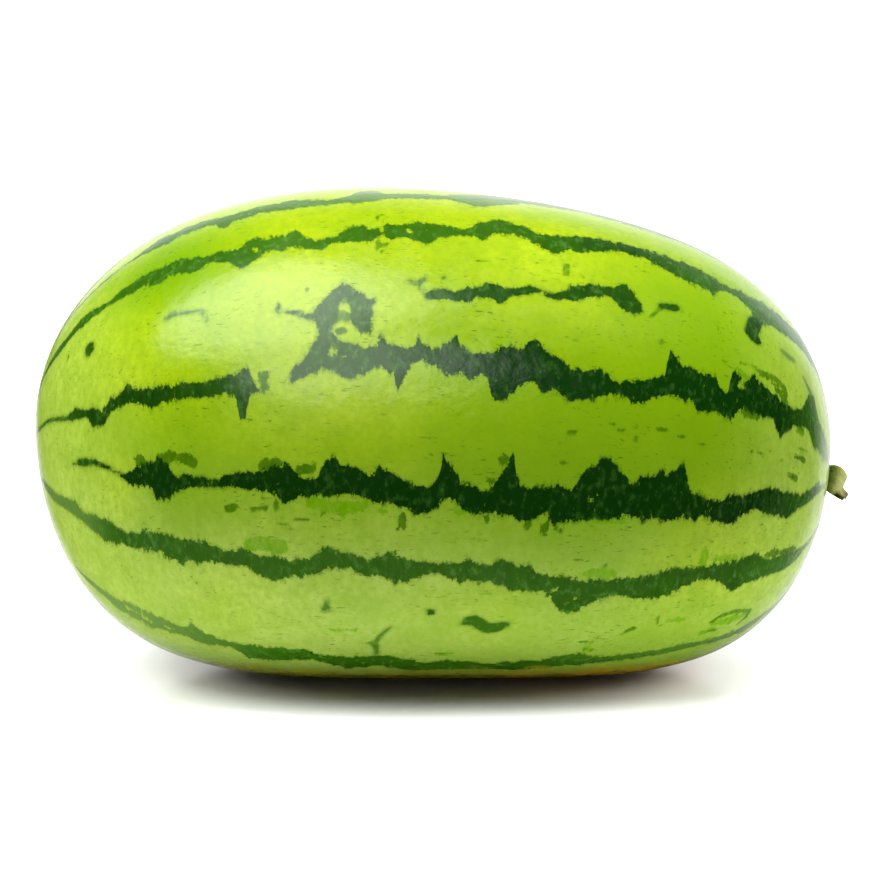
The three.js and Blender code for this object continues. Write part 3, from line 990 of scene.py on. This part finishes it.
        # The pores, drawn coarser than real ones so that they show, the gentle waves of the surface,
        # and the bloom, which makes it duller in places.
        pores = add(NOISE, None, {"Vector": place, "Scale": 1 / (self.pore * MM), "Detail": 2.0})
        bump = add(BUMP, None, {
            "Strength": self.pore_strength, "Distance": self.pore_depth * MM, "Height": pores,
        })
        bump = add(BUMP, None, {
            "Strength": 1.0, "Distance": self.wave_depth * MM, "Height": noise["waves"], "Normal": bump,
        })
        gloss = add(SPAN, None, [noise["bloom"], *self.bloom.reading])
        shader = add(SHADER, None, {"Base Color": skin, "Roughness": gloss, "IOR": self.ior, "Normal": bump})
        add(OUTPUT, None, {"Surface": shader})
        return material


# How the fruit's rings are drawn towards its two ends: waves in a turn, and their pull.
CROWDING = ((2.0, -0.2), (4.0, -0.07))


@dataclass
class Fruit:
    """The fruit: an ovoid that sags on its ground spot, with low relief. Sizes in millimetres."""

    half_length: float = 199.5
    top_radius: float = 122.2
    bottom_radius: float = 123.4
    side_radius: float = 123.0
    sag: float = 0.05
    back_lean: float = -0.068
    back_fullness: float = 0.157
    back_twist: float = 0.096
    belly_lean: float = -0.039
    belly_fullness: float = 0.496
    belly_twist: float = 0.034
    middle_height: float = 122.5
    end_rise: float = 4.8
    stem_drop: float = 18.5
    blossom_drop: float = 12.0
    lobes: float = 10.0
    lobe_depth: float = 0.2
    unevenness: float = 0.35
    uneven_scale: float = 3.5
    dimple_radius: float = 15.0
    dimple_depth: float = 2.0
    scar_radius: float = 6.5
    scar_ring_width: float = 1.9
    scar_ring_height: float = 0.7
    scar_cup_depth: float = 0.6
    sides: int = 300
    rings: int = 330
    finish: Rind = field(default_factory=Rind)

    def sizes(self) -> dict[str, float | int]:
        """Works out the named inputs of the shape's tree.

        Returns:
            The sizes by name. Each end's drop is given as the turn that brings the end down, with
            the belly's radius there.
        """
        sizes = {name.replace("_", " ").title(): value for name, value in vars(self).items()}
        del sizes["Finish"]
        for end, way in (("Stem", 1), ("Blossom", -1)):
            swell = 1 + self.belly_fullness + way * (self.belly_lean + self.belly_twist)
            radius = self.bottom_radius * swell
            sizes[f"{end} Radius"] = radius
            sizes[f"{end} Turn"] = way * math.asin(sizes.pop(f"{end} Drop") / radius)
        return sizes

    def shape_tree(self, material: bpy.types.Material) -> bpy.types.NodeTree:
        """Builds the tree that grows the fruit.

        Args:
            material: The rind.

        Returns:
            The tree. It turns a ball of directions into the ovoid, and keeps the directions.
        """
        tree = new_tree("fruit_shape", self.sizes())
        add = partial(add_node, tree)
        given = add("NodeGroupInput").outputs
        about_y = {"rotation_type": "Y_AXIS"}

        # A ball with its poles at the two ends, and its rings drawn a little towards them.
        ball = add("GeometryNodeMeshUVSphere", None, [given["Sides"], given["Rings"], 1.0])
        upright_ball = add("GeometryNodeInputPosition")
        lying = add("ShaderNodeVectorRotate", about_y, {"Vector": upright_ball, "Angle": math.pi / 2})
        x, y, z = add(APART, None, [lying]).outputs
        polar = add(MATH, {"operation": "ARCCOSINE"}, [x])
        crowded = polar
        for times, pull in CROWDING:
            wave = add(MATH, SINE, [add(MATH, TIMES, [polar, times])])
            crowded = add(MATH, TIMES_PLUS, [wave, pull, crowded])
        share = add(MATH, OVER, [add(MATH, SINE, [crowded]), add(MATH, SINE, [polar])])
        directions = add(TOGETHER, None, [
            add(MATH, COSINE, [crowded]), add(MATH, TIMES, [y, share]), add(MATH, TIMES, [z, share]),
        ])
        kept = add("GeometryNodeStoreNamedAttribute", VECTORS,
                   {"Geometry": ball, "Name": GROWTH, "Value": directions})

        # The bare ovoid in a direction of growth.
        growth = add("GeometryNodeInputNamedAttribute", VECTORS, {"Name": GROWTH})
        grown_x, grown_y, grown_z = add(APART, None, [growth]).outputs
        turn = add(SPAN, {"clamp": False}, [grown_x, -1.0, 1.0, given["Blossom Turn"], given["Stem Turn"]])
        turned = add("ShaderNodeVectorRotate", about_y, {"Vector": growth, "Angle": turn})
        x, y, z = add(APART, None, [turned]).outputs
        around = add(VECTOR_MATH, LENGTH, [add(TOGETHER, None, [0.0, y, z])]).outputs["Value"]
        upness = add(MATH, OVER, [z, around])
        radii = []
        for part, radius in (("Belly", "Bottom Radius"), ("Back", "Top Radius")):
            # A radius swells by 1 + x (lean + x (fullness + x twist)) along the body.
            steep = given[f"{part} Twist"]
            for term in (given[f"{part} Fullness"], given[f"{part} Lean"], 1.0):
                steep = add(MATH, TIMES_PLUS, [x, steep, term])
            radii.append((steep, add(MATH, TIMES, [given[radius], steep])))
        (belly, under), (back, over) = radii
        height = add(SPAN, {"clamp": False}, [upness, -1.0, 1.0, under, over])
        half_width = add(MATH, TIMES, [given["Side Radius"], 0.5])
        side = add(MATH, TIMES, [half_width, add(MATH, PLUS, [back, belly])])
        narrowing = add(MATH, MINUS, [1.0, add(MATH, TIMES, [given["Sag"], upness])])
        middle = add(MATH, MINUS, [given["Middle Height"], add(MATH, TIMES, [given["End Rise"], x])])
        ovoid = add(TOGETHER, None, [
            add(MATH, TIMES, [given["Half Length"], x]),
            add(MATH, TIMES, [side, add(MATH, TIMES, [y, narrowing])]),
            add(MATH, TIMES_PLUS, [height, z, middle]),
        ])
        bare = add("GeometryNodeSetPosition", None, {"Geometry": kept, "Position": ovoid})

        # The relief along the skin's own normal: lobes, and then the stem's dimple and the ring
        # and the cup of the blossom scar, which fall off as exp(-(distance / width)^power).
        spread = add(VECTOR_MATH, LENGTH, [add(TOGETHER, None, [0.0, grown_y, grown_z])]).outputs["Value"]
        angle = add(MATH, {"operation": "ARCTAN2"}, [grown_z, grown_y])
        wave = add(MATH, COSINE, [add(MATH, TIMES, [given["Lobes"], angle])])
        wave = add(MATH, TIMES, [given["Lobe Depth"], wave])
        lobe = add(MATH, TIMES, [wave, add(MATH, TIMES, [spread, spread])])
        from_stem = add(MATH, TIMES, [spread, given["Stem Radius"]])
        from_scar = add(MATH, TIMES, [spread, given["Blossom Radius"]])
        off_ring = add(MATH, MINUS, [from_scar, given["Scar Radius"]])
        bumps = []
        for distance, width, power, depth in (
            (from_stem, "Dimple Radius", 2.0, "Dimple Depth"),
            (off_ring, "Scar Ring Width", 2.0, "Scar Ring Height"),
            (from_scar, "Scar Radius", 4.0, "Scar Cup Depth"),
        ):
            ratio = add(MATH, SIZE_OF, [add(MATH, OVER, [distance, given[width]])])
            steepness = add(MATH, {"operation": "POWER"}, [ratio, power])
            falloff = add(MATH, {"operation": "EXPONENT"}, [add(MATH, TIMES, [steepness, -1.0])])
            bumps.append(add(MATH, TIMES, [given[depth], falloff]))
        dimple, ring, cup = bumps
        at_stem = add(MATH, {"operation": "GREATER_THAN"}, [grown_x, 0.0])
        end_relief = add(MIX, {"data_type": "FLOAT"}, {
            0: at_stem, 2: add(MATH, MINUS, [ring, cup]), 3: add(MATH, TIMES, [dimple, -1.0]),
        })
        uneven = add(NOISE, None, {"Vector": growth, "Scale": given["Uneven Scale"], "Detail": 2.0})
        uneven = add(MATH, MINUS, [uneven, 0.5])
        uneven = add(MATH, TIMES, [uneven, add(MATH, TIMES, [given["Unevenness"], 2.0])])
        relief = add(MATH, PLUS, [add(MATH, PLUS, [lobe, end_relief]), uneven])
        raised = add(VECTOR_MATH, SCALE, {"Vector": add("GeometryNodeInputNormal"), "Scale": relief})
        lifted = add(VECTOR_MATH, PLUS, [add("GeometryNodeInputPosition"), raised])
        x, y, z = add(APART, None, [lifted]).outputs
        pressed = add(TOGETHER, None, [x, y, add(MATH, {"operation": "MAXIMUM"}, [z, 0.0])])
        metres = add(VECTOR_MATH, SCALE, {"Vector": pressed, "Scale": MM})
        shaped = add("GeometryNodeSetPosition", None, {"Geometry": bare, "Position": metres})
        smooth = add("GeometryNodeSetShadeSmooth", None, {"Geometry": shaped})
        real = add("GeometryNodeRealizeInstances", None, {"Geometry": smooth})
        dressed = add("GeometryNodeSetMaterial", None, {"Geometry": real, "Material": material})
        add("NodeGroupOutput", None, {"Geometry": dressed})
        return tree

    def build(self) -> bpy.types.Object:
        """Grows the fruit, paints its marks and puts it in the scene.

        Returns:
            The piece.
        """
        mesh = mesh_from_nodes(self.shape_tree(self.finish.make()), self.sizes())
        painter = Painter(Skin(mesh, self.half_length, self.middle_height))
        for stripe in (CROWN, BROW, DASH, LEFT_CHEEK, RIGHT_CHEEK, WAIST, LAP, HEM, *WildStripes().grow()):
            painter.paint(stripe)
        for look, lines in STROKES.items():
            for points in lines:
                painter.paint(Stroke(points, *look))
        for tone in TONES:
            painter.tint(*tone)
        painter.store(mesh)
        return place_piece("fruit_rind", mesh, ("fruit",))


@dataclass(frozen=True)
class DriedStem:
    """Dried vine: a ridged, fibrous olive stub, brown where it tore, its light and shade painted on.

    Painted shade makes it dark where it meets the fruit and underneath, the more so towards its
    end, and painted light makes its upper side pale, and cream where it has dried. The fibres are
    drawn coarser than real ones so that they show, and the streakiness is how far they break up
    the edge of the painted shade underneath, that of the painted shade at the root and that of the
    torn end.
    """

    sappy: str = "616e22"
    pale: str = "a3a66a"
    cream: str = "99965e"
    shaded: str = "1e2600"
    torn: str = "4e421c"
    fibre: float = 0.45
    fibre_depth: float = 0.25
    fibre_strength: float = 0.6
    fibre_stretch: float = 0.22
    streakiness: tuple[float, float, float] = (0.8, 0.2, 0.3)
    # Spans of the painted shade and light: painted shade under the end, the lit upper side, painted shade at
    # the root, then the dry end and the torn end.
    hollow: Span = (0.5, 0.8, 0.0, -0.8)
    upper_side: Span = (-1.35, -0.45, 0.0, 1.0)
    clear_of_fruit: Span = (0.12, 0.55, 0.0, 1.0)
    dry_end: Span = (0.5, 0.8, 0.0, 1.0)
    torn_end: Span = (1.0, 1.2, 0.0, 1.0)
    roughness: float = 0.62
    ior: float = 1.2

    def make(self) -> bpy.types.Material:
        """Builds the material.

        Returns:
            The material, which reads the stub's own share of its run, and how far it faces up.
        """
        material, add = new_finish("dried_vine")
        place = add(PLACE).outputs["Object"]
        share, upness = (
            add(ATTRIBUTE, {"attribute_name": name}).outputs["Fac"] for name in ("share", "upness")
        )
        drawn = add("ShaderNodeMapping", None, {"Vector": place, "Scale": (1.0, 1.0, self.fibre_stretch)})
        fibres = add(NOISE, None, {"Vector": drawn, "Scale": 1 / (self.fibre * MM), "Detail": 3.0})
        streak = add(MATH, MINUS, [fibres, 0.5])
        upwards, outwards, tearing = self.streakiness
        # Painted shade underneath, deeper towards the end, and painted shade at the root, where it meets the
        # fruit.
        hollow = add(SPAN, SMOOTH, [share, *self.hollow])
        upper = add(MATH, PLUS, [add(MATH, TIMES_PLUS, [streak, upwards, upness]), hollow])
        upper = add(SPAN, SMOOTH, [upper, *self.upper_side])
        clear = add(MATH, TIMES_PLUS, [streak, outwards, share])
        clear = add(SPAN, SMOOTH, [clear, *self.clear_of_fruit])
        lit = add(MATH, TIMES, [upper, clear])
        dried = add(SPAN, SMOOTH, [share, *self.dry_end])
        torn = add(MATH, TIMES_PLUS, [fibres, tearing, share])
        # Painted shade and light: the shaded colour, sappy olive where half lit, the pale colour where lit,
        # cream where lit and dried, then the torn brown.
        colour = layer_colours(material.node_tree, self.shaded, [
            (add(SPAN, None, [lit, 0.0, 0.5]), self.sappy),
            (add(SPAN, None, [lit, 0.5, 1.0]), self.pale),
            (add(MATH, TIMES, [dried, lit]), self.cream),
            (add(SPAN, SMOOTH, [torn, *self.torn_end]), self.torn),
        ])
        bump = add(BUMP, None, {
            "Strength": self.fibre_strength, "Distance": self.fibre_depth * MM, "Height": fibres,
        })
        shader = add(SHADER, None, {
            "Base Color": colour, "Roughness": self.roughness, "IOR": self.ior, "Normal": bump,
        })
        add(OUTPUT, None, {"Surface": shader})
        return material


def smooth_curve(points: tuple[tuple[float, ...], ...], share: float) -> np.ndarray:
    """A place on the smooth curve through points.

    Args:
        points: The points, which the curve passes at even shares of its run.
        share: How far along the curve, from 0 to 1.

    Returns:
        The place.
    """
    rows = np.array(points, dtype=float)
    rows = np.vstack([2 * rows[0] - rows[1], rows, 2 * rows[-1] - rows[-2]])
    at = min(share * (len(points) - 1), len(points) - 1 - 1e-9)
    i = int(at)
    t = at - i
    before, start, end, after = rows[i : i + 4]
    leave, arrive = (end - before) / 2, (after - start) / 2
    return (
        (2 * t**3 - 3 * t**2 + 1) * start + (t**3 - 2 * t**2 + t) * leave
        + (3 * t**2 - 2 * t**3) * end + (t**3 - t**2) * arrive
    )


@dataclass
class Stem:
    """The stub of the vine: a ridged tube that bends down to a torn end. Sizes in millimetres.

    Each step is (out and up of the edge over it, out and up of the edge under it, side, half
    width), from the seat at the fruit's end. Cords are the fine ridges between the main ones.
    """

    seat: tuple[float, float, float] = (198.5, 0.0, 99.3)
    steps: tuple[tuple[float, float, float, float, float, float], ...] = (
        (-4, 6.4, -4, -5.8, 0, 6.2),
        (-0.5, 6.1, -0.5, -5.4, 0, 5.9),
        (4.3, 6.5, 1, -6.6, -0.2, 5.6),
        (8, 5, 2.6, -7.6, -0.4, 5.3),
        (10.7, 1.1, 3.9, -8.5, -0.7, 4.4),
        (9.4, -2.8, 5, -9.3, -1, 3.3),
        (9.2, -5.2, 6.3, -10.2, -1.3, 2.7),
        (11.6, -7.7, 8.4, -11.2, -1.5, 2.4),
    )
    ridges: int = 5
    ridge_share: float = 0.09
    twist: float = 0.9
    cords: int = 23
    cord_share: float = 0.012
    cord_twist: float = 2.7
    tear: float = 0.54
    tear_waves: int = 3
    torn_share: float = 0.1
    torn_cup: float = 0.315
    sides: int = 120
    rings: int = 110
    strands: int = 16
    strand_spread: float = 0.72
    strand_length: float = 2.6
    shortest_strand: float = 0.45
    strand_thickness: float = 0.2
    strand_tip: float = 0.02
    strand_lean: float = 0.45
    strand_turn: float = 6.28
    strand_sides: int = 6
    strand_steps: int = 3
    seed: int = 5
    finish: DriedStem = field(default_factory=DriedStem)

    def section(self, share: float) -> tuple[np.ndarray, np.ndarray, np.ndarray, float]:
        """Finds the stub's section at a share of its run.

        Args:
            share: From 0 at the root to 1 at the torn end.

        Returns:
            Its middle, its rise to the upper edge, the outward direction and its half width.
        """
        over_out, over_up, under_out, under_up, side, half_width = smooth_curve(self.steps, share)
        over = np.array([over_out, side, over_up])
        under = np.array([under_out, side, under_up])
        rise = (over - under) / 2
        outward = np.array([rise[2], 0, -rise[0]]) / np.linalg.norm(rise)
        return (over + under) / 2 + np.array(self.seat), rise, outward, half_width

    def tube(self, material: bpy.types.Material) -> bpy.types.Mesh:
        """Builds the stub's skin.

        Args:
            material: The finish.

        Returns:
            The closed mesh, in metres.
        """
        rng = np.random.default_rng(self.seed)
        torn = rng.uniform(-1, 1, self.sides)
        torn = (torn + np.roll(torn, 1)) / 2
        angles = np.arange(self.sides) * 2 * math.pi / self.sides
        points, shares, upness, faces = [], [], [], []
        for ring in range(self.rings + 1):
            share = ring / self.rings
            middle, rise, outward, half_width = self.section(share)
            ridges = self.ridge_share * np.cos(self.ridges * angles + self.twist * share)
            cords = self.cord_share * np.cos(self.cords * angles + self.cord_twist * share)
            reach = 1 + ridges + cords
            near_end = max(0, share - 1 + self.torn_share) / self.torn_share
            pull = self.tear * (np.sin(self.tear_waves * angles + 1) + torn) * near_end
            at = middle + np.outer(reach * np.sin(angles), rise) + np.outer(pull, outward)
            at[:, 1] -= half_width * reach * np.cos(angles)
            points.extend(at)
            shares.extend([share] * self.sides)
            upness.extend(np.sin(angles))
        for low in range(0, self.rings * self.sides, self.sides):
            for i in range(self.sides):
                j, high = (i + 1) % self.sides, low + self.sides
                faces.append((low + i, high + i, high + j, low + j))
        for ring, sunk in ((0, 0.0), (self.rings, self.torn_cup)):
            share, start, hub = ring / self.rings, ring * self.sides, len(points)
            outward = self.section(share)[2]
            points.append(np.mean(points[start : start + self.sides], axis=0) - outward * sunk)
            shares.append(share)
            upness.append(0.0)
            for i in range(self.sides):
                pair = (start + i, start + (i + 1) % self.sides)
                faces.append((hub, *pair[::-1]) if ring else (hub, *pair))
        mesh = bpy.data.meshes.new("stem_stub")
        mesh.from_pydata([tuple(p * MM) for p in points], [], faces)
        for name, values in (("share", shares), ("upness", upness)):
            mesh.attributes.new(name, "FLOAT", "POINT").data.foreach_set("value", values)
        mesh.shade_smooth()
        mesh.materials.append(material)
        return mesh

    def fibre_tree(self, material: bpy.types.Material, sizes: dict[str, float | int]) -> bpy.types.NodeTree:
        """Builds the tree that stands torn strands on a ring that faces up.

        Args:
            material: The finish.
            sizes: Its named inputs.

        Returns:
            The tree.
        """
        tree = new_tree("torn_strands", sizes)
        add = partial(add_node, tree)
        given = add("NodeGroupInput").outputs
        ring = add("GeometryNodeMeshCircle", None, {"Vertices": given["Strands"], "Radius": given["Spread"]})
        strand = add("GeometryNodeMeshCone", None, {
            "Vertices": self.strand_sides, "Side Segments": self.strand_steps,
            "Radius Top": self.strand_tip, "Radius Bottom": given["Thickness"], "Depth": given["Length"],
        })
        least = (-self.strand_lean, -self.strand_lean, 0.0)
        most = (self.strand_lean, self.strand_lean, self.strand_turn)
        chance, seed = "FunctionNodeRandomValue", given["Seed"]
        lean = add(chance, VECTORS, {0: least, 1: most, "Seed": seed})
        grow = add(chance, {"data_type": "FLOAT"}, {2: self.shortest_strand, 3: 1.0, "Seed": seed})
        stood = add("GeometryNodeInstanceOnPoints", None,
                    {"Points": ring, "Instance": strand, "Rotation": lean, "Scale": grow.outputs[1]})
        real = add("GeometryNodeRealizeInstances", None, {"Geometry": stood})
        dressed = add("GeometryNodeSetMaterial", None, {"Geometry": real, "Material": material})
        add("NodeGroupOutput", None, {"Geometry": dressed})
        return tree

    def build(self) -> bpy.types.Object:
        """Builds the stub and the strands at its torn end.

        Returns:
            The stub.
        """
        material = self.finish.make()
        stub = place_piece("stem_stub", self.tube(material), ("stem",))
        middle, _, outward, half_width = self.section(1)
        sizes = {
            "Strands": self.strands, "Spread": float(half_width * self.strand_spread),
            "Thickness": self.strand_thickness, "Length": self.strand_length, "Seed": self.seed,
        }
        mesh = mesh_from_nodes(self.fibre_tree(material, sizes), sizes)
        turn = Vector(outward).to_track_quat("Z", "Y").to_matrix()
        for vertex in mesh.vertices:
            vertex.co = (turn @ vertex.co + Vector(middle)) * MM
        mesh.attributes.new("share", "FLOAT", "POINT").data.foreach_set("value", [1.0] * len(mesh.vertices))
        mesh.shade_smooth()
        place_piece("stem_strands", mesh)
        return stub


@dataclass(frozen=True)
class Viewpoint:
    """The camera, level from side to side. Millimetres and degrees; it sees to so many metres."""

    target: tuple[float, float, float] = (1.4, 0.0, 120.65)
    distance: float = 1500.0
    elevation: float = 11.5
    view_width: float = 440.1
    sensor: float = 36.0
    sight: float = 200.0

    def build(self) -> None:
        """Makes the scene's camera."""
        data = bpy.data.cameras.new("camera")
        data.sensor_width = self.sensor
        data.lens = self.sensor * self.distance / self.view_width
        data.clip_end = self.sight
        camera = bpy.data.objects.new("camera", data)
        bpy.context.scene.collection.objects.link(camera)
        drop = math.radians(self.elevation)
        back = Vector((0, -math.cos(drop), math.sin(drop))) * self.distance
        camera.location = (Vector(self.target) + back) * MM
        camera.rotation_euler = (math.pi / 2 - drop, 0, 0)
        bpy.context.scene.camera = camera
        log.info("camera: %.1f mm lens", data.lens)


class Lit(Enum):
    """What a lamp serves."""

    DIFFUSE = "diffuse"
    GLOSS = "gloss"
    FLOOR = "floor"


@dataclass(frozen=True)
class Lamp:
    """A broad lamp that is far away: even, or fading out over its softness. Degrees."""

    name: str
    place: tuple[float, float, float]
    strength: float
    angle: float
    serves: Lit
    softness: float = 0.0

    def build(self, floor: bpy.types.Collection) -> None:
        """Hangs the lamp, as one even disc or as three, one over the other.

        Args:
            floor: A collection that holds just the floor.
        """
        steps = (-1, 0, 1) if self.softness else (0,)
        angles = [math.radians(self.angle + step * self.softness) for step in steps]
        areas = [math.sin(angle / 2) ** 2 for angle in angles]
        for angle, area in zip(angles, areas):
            light = bpy.data.lights.new(self.name, "SUN")
            light.energy = self.strength * area / sum(areas)
            light.angle = angle
            lamp = bpy.data.objects.new(self.name, light)
            lamp.rotation_euler = Vector(self.place).to_track_quat("Z", "Y").to_euler()
            lamp.visible_glossy = self.serves is Lit.GLOSS
            lamp.visible_diffuse = self.serves is not Lit.GLOSS
            if self.serves is Lit.FLOOR:
                lamp.light_linking.receiver_collection = floor
            bpy.context.scene.collection.objects.link(lamp)


@dataclass(frozen=True)
class Studio:
    """A white floor under broad lamps and graded softboxes, with a white screen low behind.

    Black cards lie on the floor in front and on the left, and a graded one lies just under it.
    They keep the floor out of the fruit's gloss and bounce, and the camera doesn't see them. The
    sheen lamps show in gloss alone. The screen's spans are where it fades out: at its sides, its
    top and its foot, and towards the front. Sizes in metres.
    """

    floor_size: float = 80.0
    floor_colour: str = "f0f0f0"
    floor_gap: float = 0.0001
    floor_smudge: float = 6.0
    floor_gloss: Span = (0.3, 0.7, 0.16, 0.2)
    floor_ior: float = 1.4
    lamps: tuple[Lamp, ...] = (
        Lamp("softbox", (-0.34, -0.24, 0.91), 4.6, 48.0, Lit.DIFFUSE),
        Lamp("overhead", (0.1, 0.05, 0.99), 4.4, 64.0, Lit.DIFFUSE),
        Lamp("right_fill", (0.98, 0.05, 0.15), 0.7, 60.0, Lit.DIFFUSE),
        Lamp("left_fill", (-0.98, -0.1, 0.15), 0.8, 60.0, Lit.DIFFUSE),
        Lamp("floor_left", (-0.8, -0.15, 0.58), 2.4, 34.0, Lit.FLOOR),
        Lamp("floor_right", (0.8, -0.15, 0.58), 3.4, 34.0, Lit.FLOOR),
        Lamp("sheen_high", (-0.32, -0.21, 0.924), 3.7, 43.5, Lit.GLOSS, 7.0),
        Lamp("sheen_middle", (-0.12, -0.7, 0.704), 1.2, 29.0, Lit.GLOSS, 7.0),
        Lamp("sheen_low", (-0.2, -0.86, 0.47), 0.12, 24.0, Lit.GLOSS, 7.0),
    )
    screen: float = 1.6
    screen_middle: float = 0.13
    screen_reach: Span = (0.38, 0.7, 1.0, 0.0)
    screen_top: Span = (0.2, 0.85, 1.0, 0.0)
    screen_foot: Span = (-0.95, -0.15, 0.02, 1.0)
    screen_behind: Span = (-0.2, 0.5, 0.04, 1.0)
    dusk: float = 0.05
    card_colour: str = "050505"
    card_front: float = -0.25
    card_left: float = -0.52
    shade_reach: tuple[float, float] = (-0.18, 0.21)
    shade_behind: float = 0.35
    card_reach: float = 12.0
    card_lift: float = 0.001

    def sheet(self, name: str, low: tuple[float, float], high: tuple[float, float], height: float,
              material: bpy.types.Material) -> bpy.types.Object:
        """Lays a flat sheet that belongs to the studio.

        Args:
            name: Its name.
            low: Its lowest x and y.
            high: Its highest x and y.
            height: How high it lies.
            material: Its finish.

        Returns:
            The sheet, marked as part of the stage.
        """
        mesh = bpy.data.meshes.new(name)
        around = (low, (high[0], low[1]), high, (low[0], high[1]))
        mesh.from_pydata([(x, y, height) for x, y in around], [], [(0, 1, 2, 3)])
        mesh.materials.append(material)
        sheet = bpy.data.objects.new(name, mesh)
        bpy.context.scene.collection.objects.link(sheet)
        sheet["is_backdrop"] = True
        return sheet

    def build(self) -> None:
        """Makes the floor, the cards, the light and the room."""
        scene = bpy.context.scene
        scene.view_settings.view_transform = "Standard"
        half = self.floor_size / 2
        floor = self.sheet("floor", (-half, -half), (half, half), -self.floor_gap, self.floor_finish())
        floor.visible_glossy = False
        (near, far), (end, lift), start = self.shade_reach, (self.card_reach, self.card_lift), self.card_front
        black = self.card_finish("black_card")
        graded = self.card_finish("graded_card", (near + far) / 2, (far - near) / 2)
        under = self.sheet("under_card", (near, start), (far, self.shade_behind), -lift, graded)
        under.visible_diffuse = False
        for card in (
            self.sheet("front_card", (-end, -end), (end, start), lift, black),
            self.sheet("left_card", (-end, start), (self.card_left, end), lift, black),
            under,
        ):
            card.visible_camera = False
            card.visible_shadow = False
        floor_only = bpy.data.collections.new("floor_only")
        floor_only.objects.link(floor)
        for lamp in self.lamps:
            lamp.build(floor_only)
        scene.world = self.room()
        log.info("studio: floor, cards, lamps and room")

    def card_finish(self, name: str, middle: float = 0.0, half: float = 0.0) -> bpy.types.Material:
        """Matt black card, which gives no light back.

        Args:
            name: The material's name.
            middle: Where a graded card's middle is, from left to right.
            half: Half the width of a graded card, which fades out over the outer half of it.

        Returns:
            The material.
        """
        material, add = new_finish(name)
        card = add(SHADER, None, {"Base Color": linear(self.card_colour), "Roughness": 1.0})
        add(OUTPUT, None, {"Surface": card})
        if half:
            across = add(APART, None, [add(PLACE).outputs["Object"]]).outputs["X"]
            off = add(MATH, SIZE_OF, [add(MATH, MINUS, [across, middle])])
            fade = add(SPAN, SMOOTH, [off, half / 2, half, 1.0, 0.0])
            material.node_tree.links.new(fade.outputs[0], card.inputs["Alpha"])
        return material

    def floor_finish(self) -> bpy.types.Material:
        """White gloss laminate, which gives a faint reflection at a low angle.

        Returns:
            The material.
        """
        material, add = new_finish("white_laminate")
        smudge = add(NOISE, None, {"Vector": add(PLACE).outputs["Object"], "Scale": self.floor_smudge})
        gloss = add(SPAN, None, [smudge, *self.floor_gloss])
        colour = linear(self.floor_colour)
        laminate = add(SHADER, None, {"Base Color": colour, "Roughness": gloss, "IOR": self.floor_ior})
        add(OUTPUT, None, {"Surface": laminate})
        return material

    def room(self) -> bpy.types.World:
        """The room round the floor: dim, but for a white screen low behind, a little to the right.

        Returns:
            The world.
        """
        world = bpy.data.worlds.new("room")
        world.use_nodes = True
        world.node_tree.nodes.clear()
        add = partial(add_node, world.node_tree)
        x, y, z = add(APART, None, [add(PLACE).outputs["Generated"]]).outputs
        across = add(MATH, SIZE_OF, [add(MATH, MINUS, [x, self.screen_middle])])
        share = add(SPAN, SMOOTH, [across, *self.screen_reach])
        for direction, reach in ((z, self.screen_top), (z, self.screen_foot), (y, self.screen_behind)):
            share = add(MATH, TIMES, [share, add(SPAN, SMOOTH, [direction, *reach])])
        glow = add(SPAN, None, [share, 0.0, 1.0, self.dusk, self.screen])
        background = add("ShaderNodeBackground", None, {"Strength": glow})
        add("ShaderNodeOutputWorld", None, {"Surface": background})
        return world


def corners(box: tuple[Vector, Vector]) -> list[list[float]]:
    """A box's two corners as plain lists."""
    return [list(corner) for corner in box]


def main() -> None:
    """Builds the scene and reports each piece."""
    logging.basicConfig(level=logging.INFO, format="%(name)s: %(message)s")
    cad_box = corners(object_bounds())
    cad = {node: corners(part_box(node)) for node in ("fruit", "stem")}
    Viewpoint().build()
    Studio().build()
    pieces = {"fruit": Fruit().build(), "stem": Stem().build()}
    bpy.context.view_layer.update()
    for node, piece in pieces.items():
        ends = [pick(corner[axis] for corner in piece.bound_box) for pick in (min, max) for axis in range(3)]
        off = [round((a - b) / MM, 2) for a, b in zip(ends, cad[node][0] + cad[node][1])]
        log.info("%s against the CAD node %s, in mm: %s", piece.name, node, off)
    {"cad": cad_box, "visual": corners(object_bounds())}


if __name__ == "__main__":
    main()
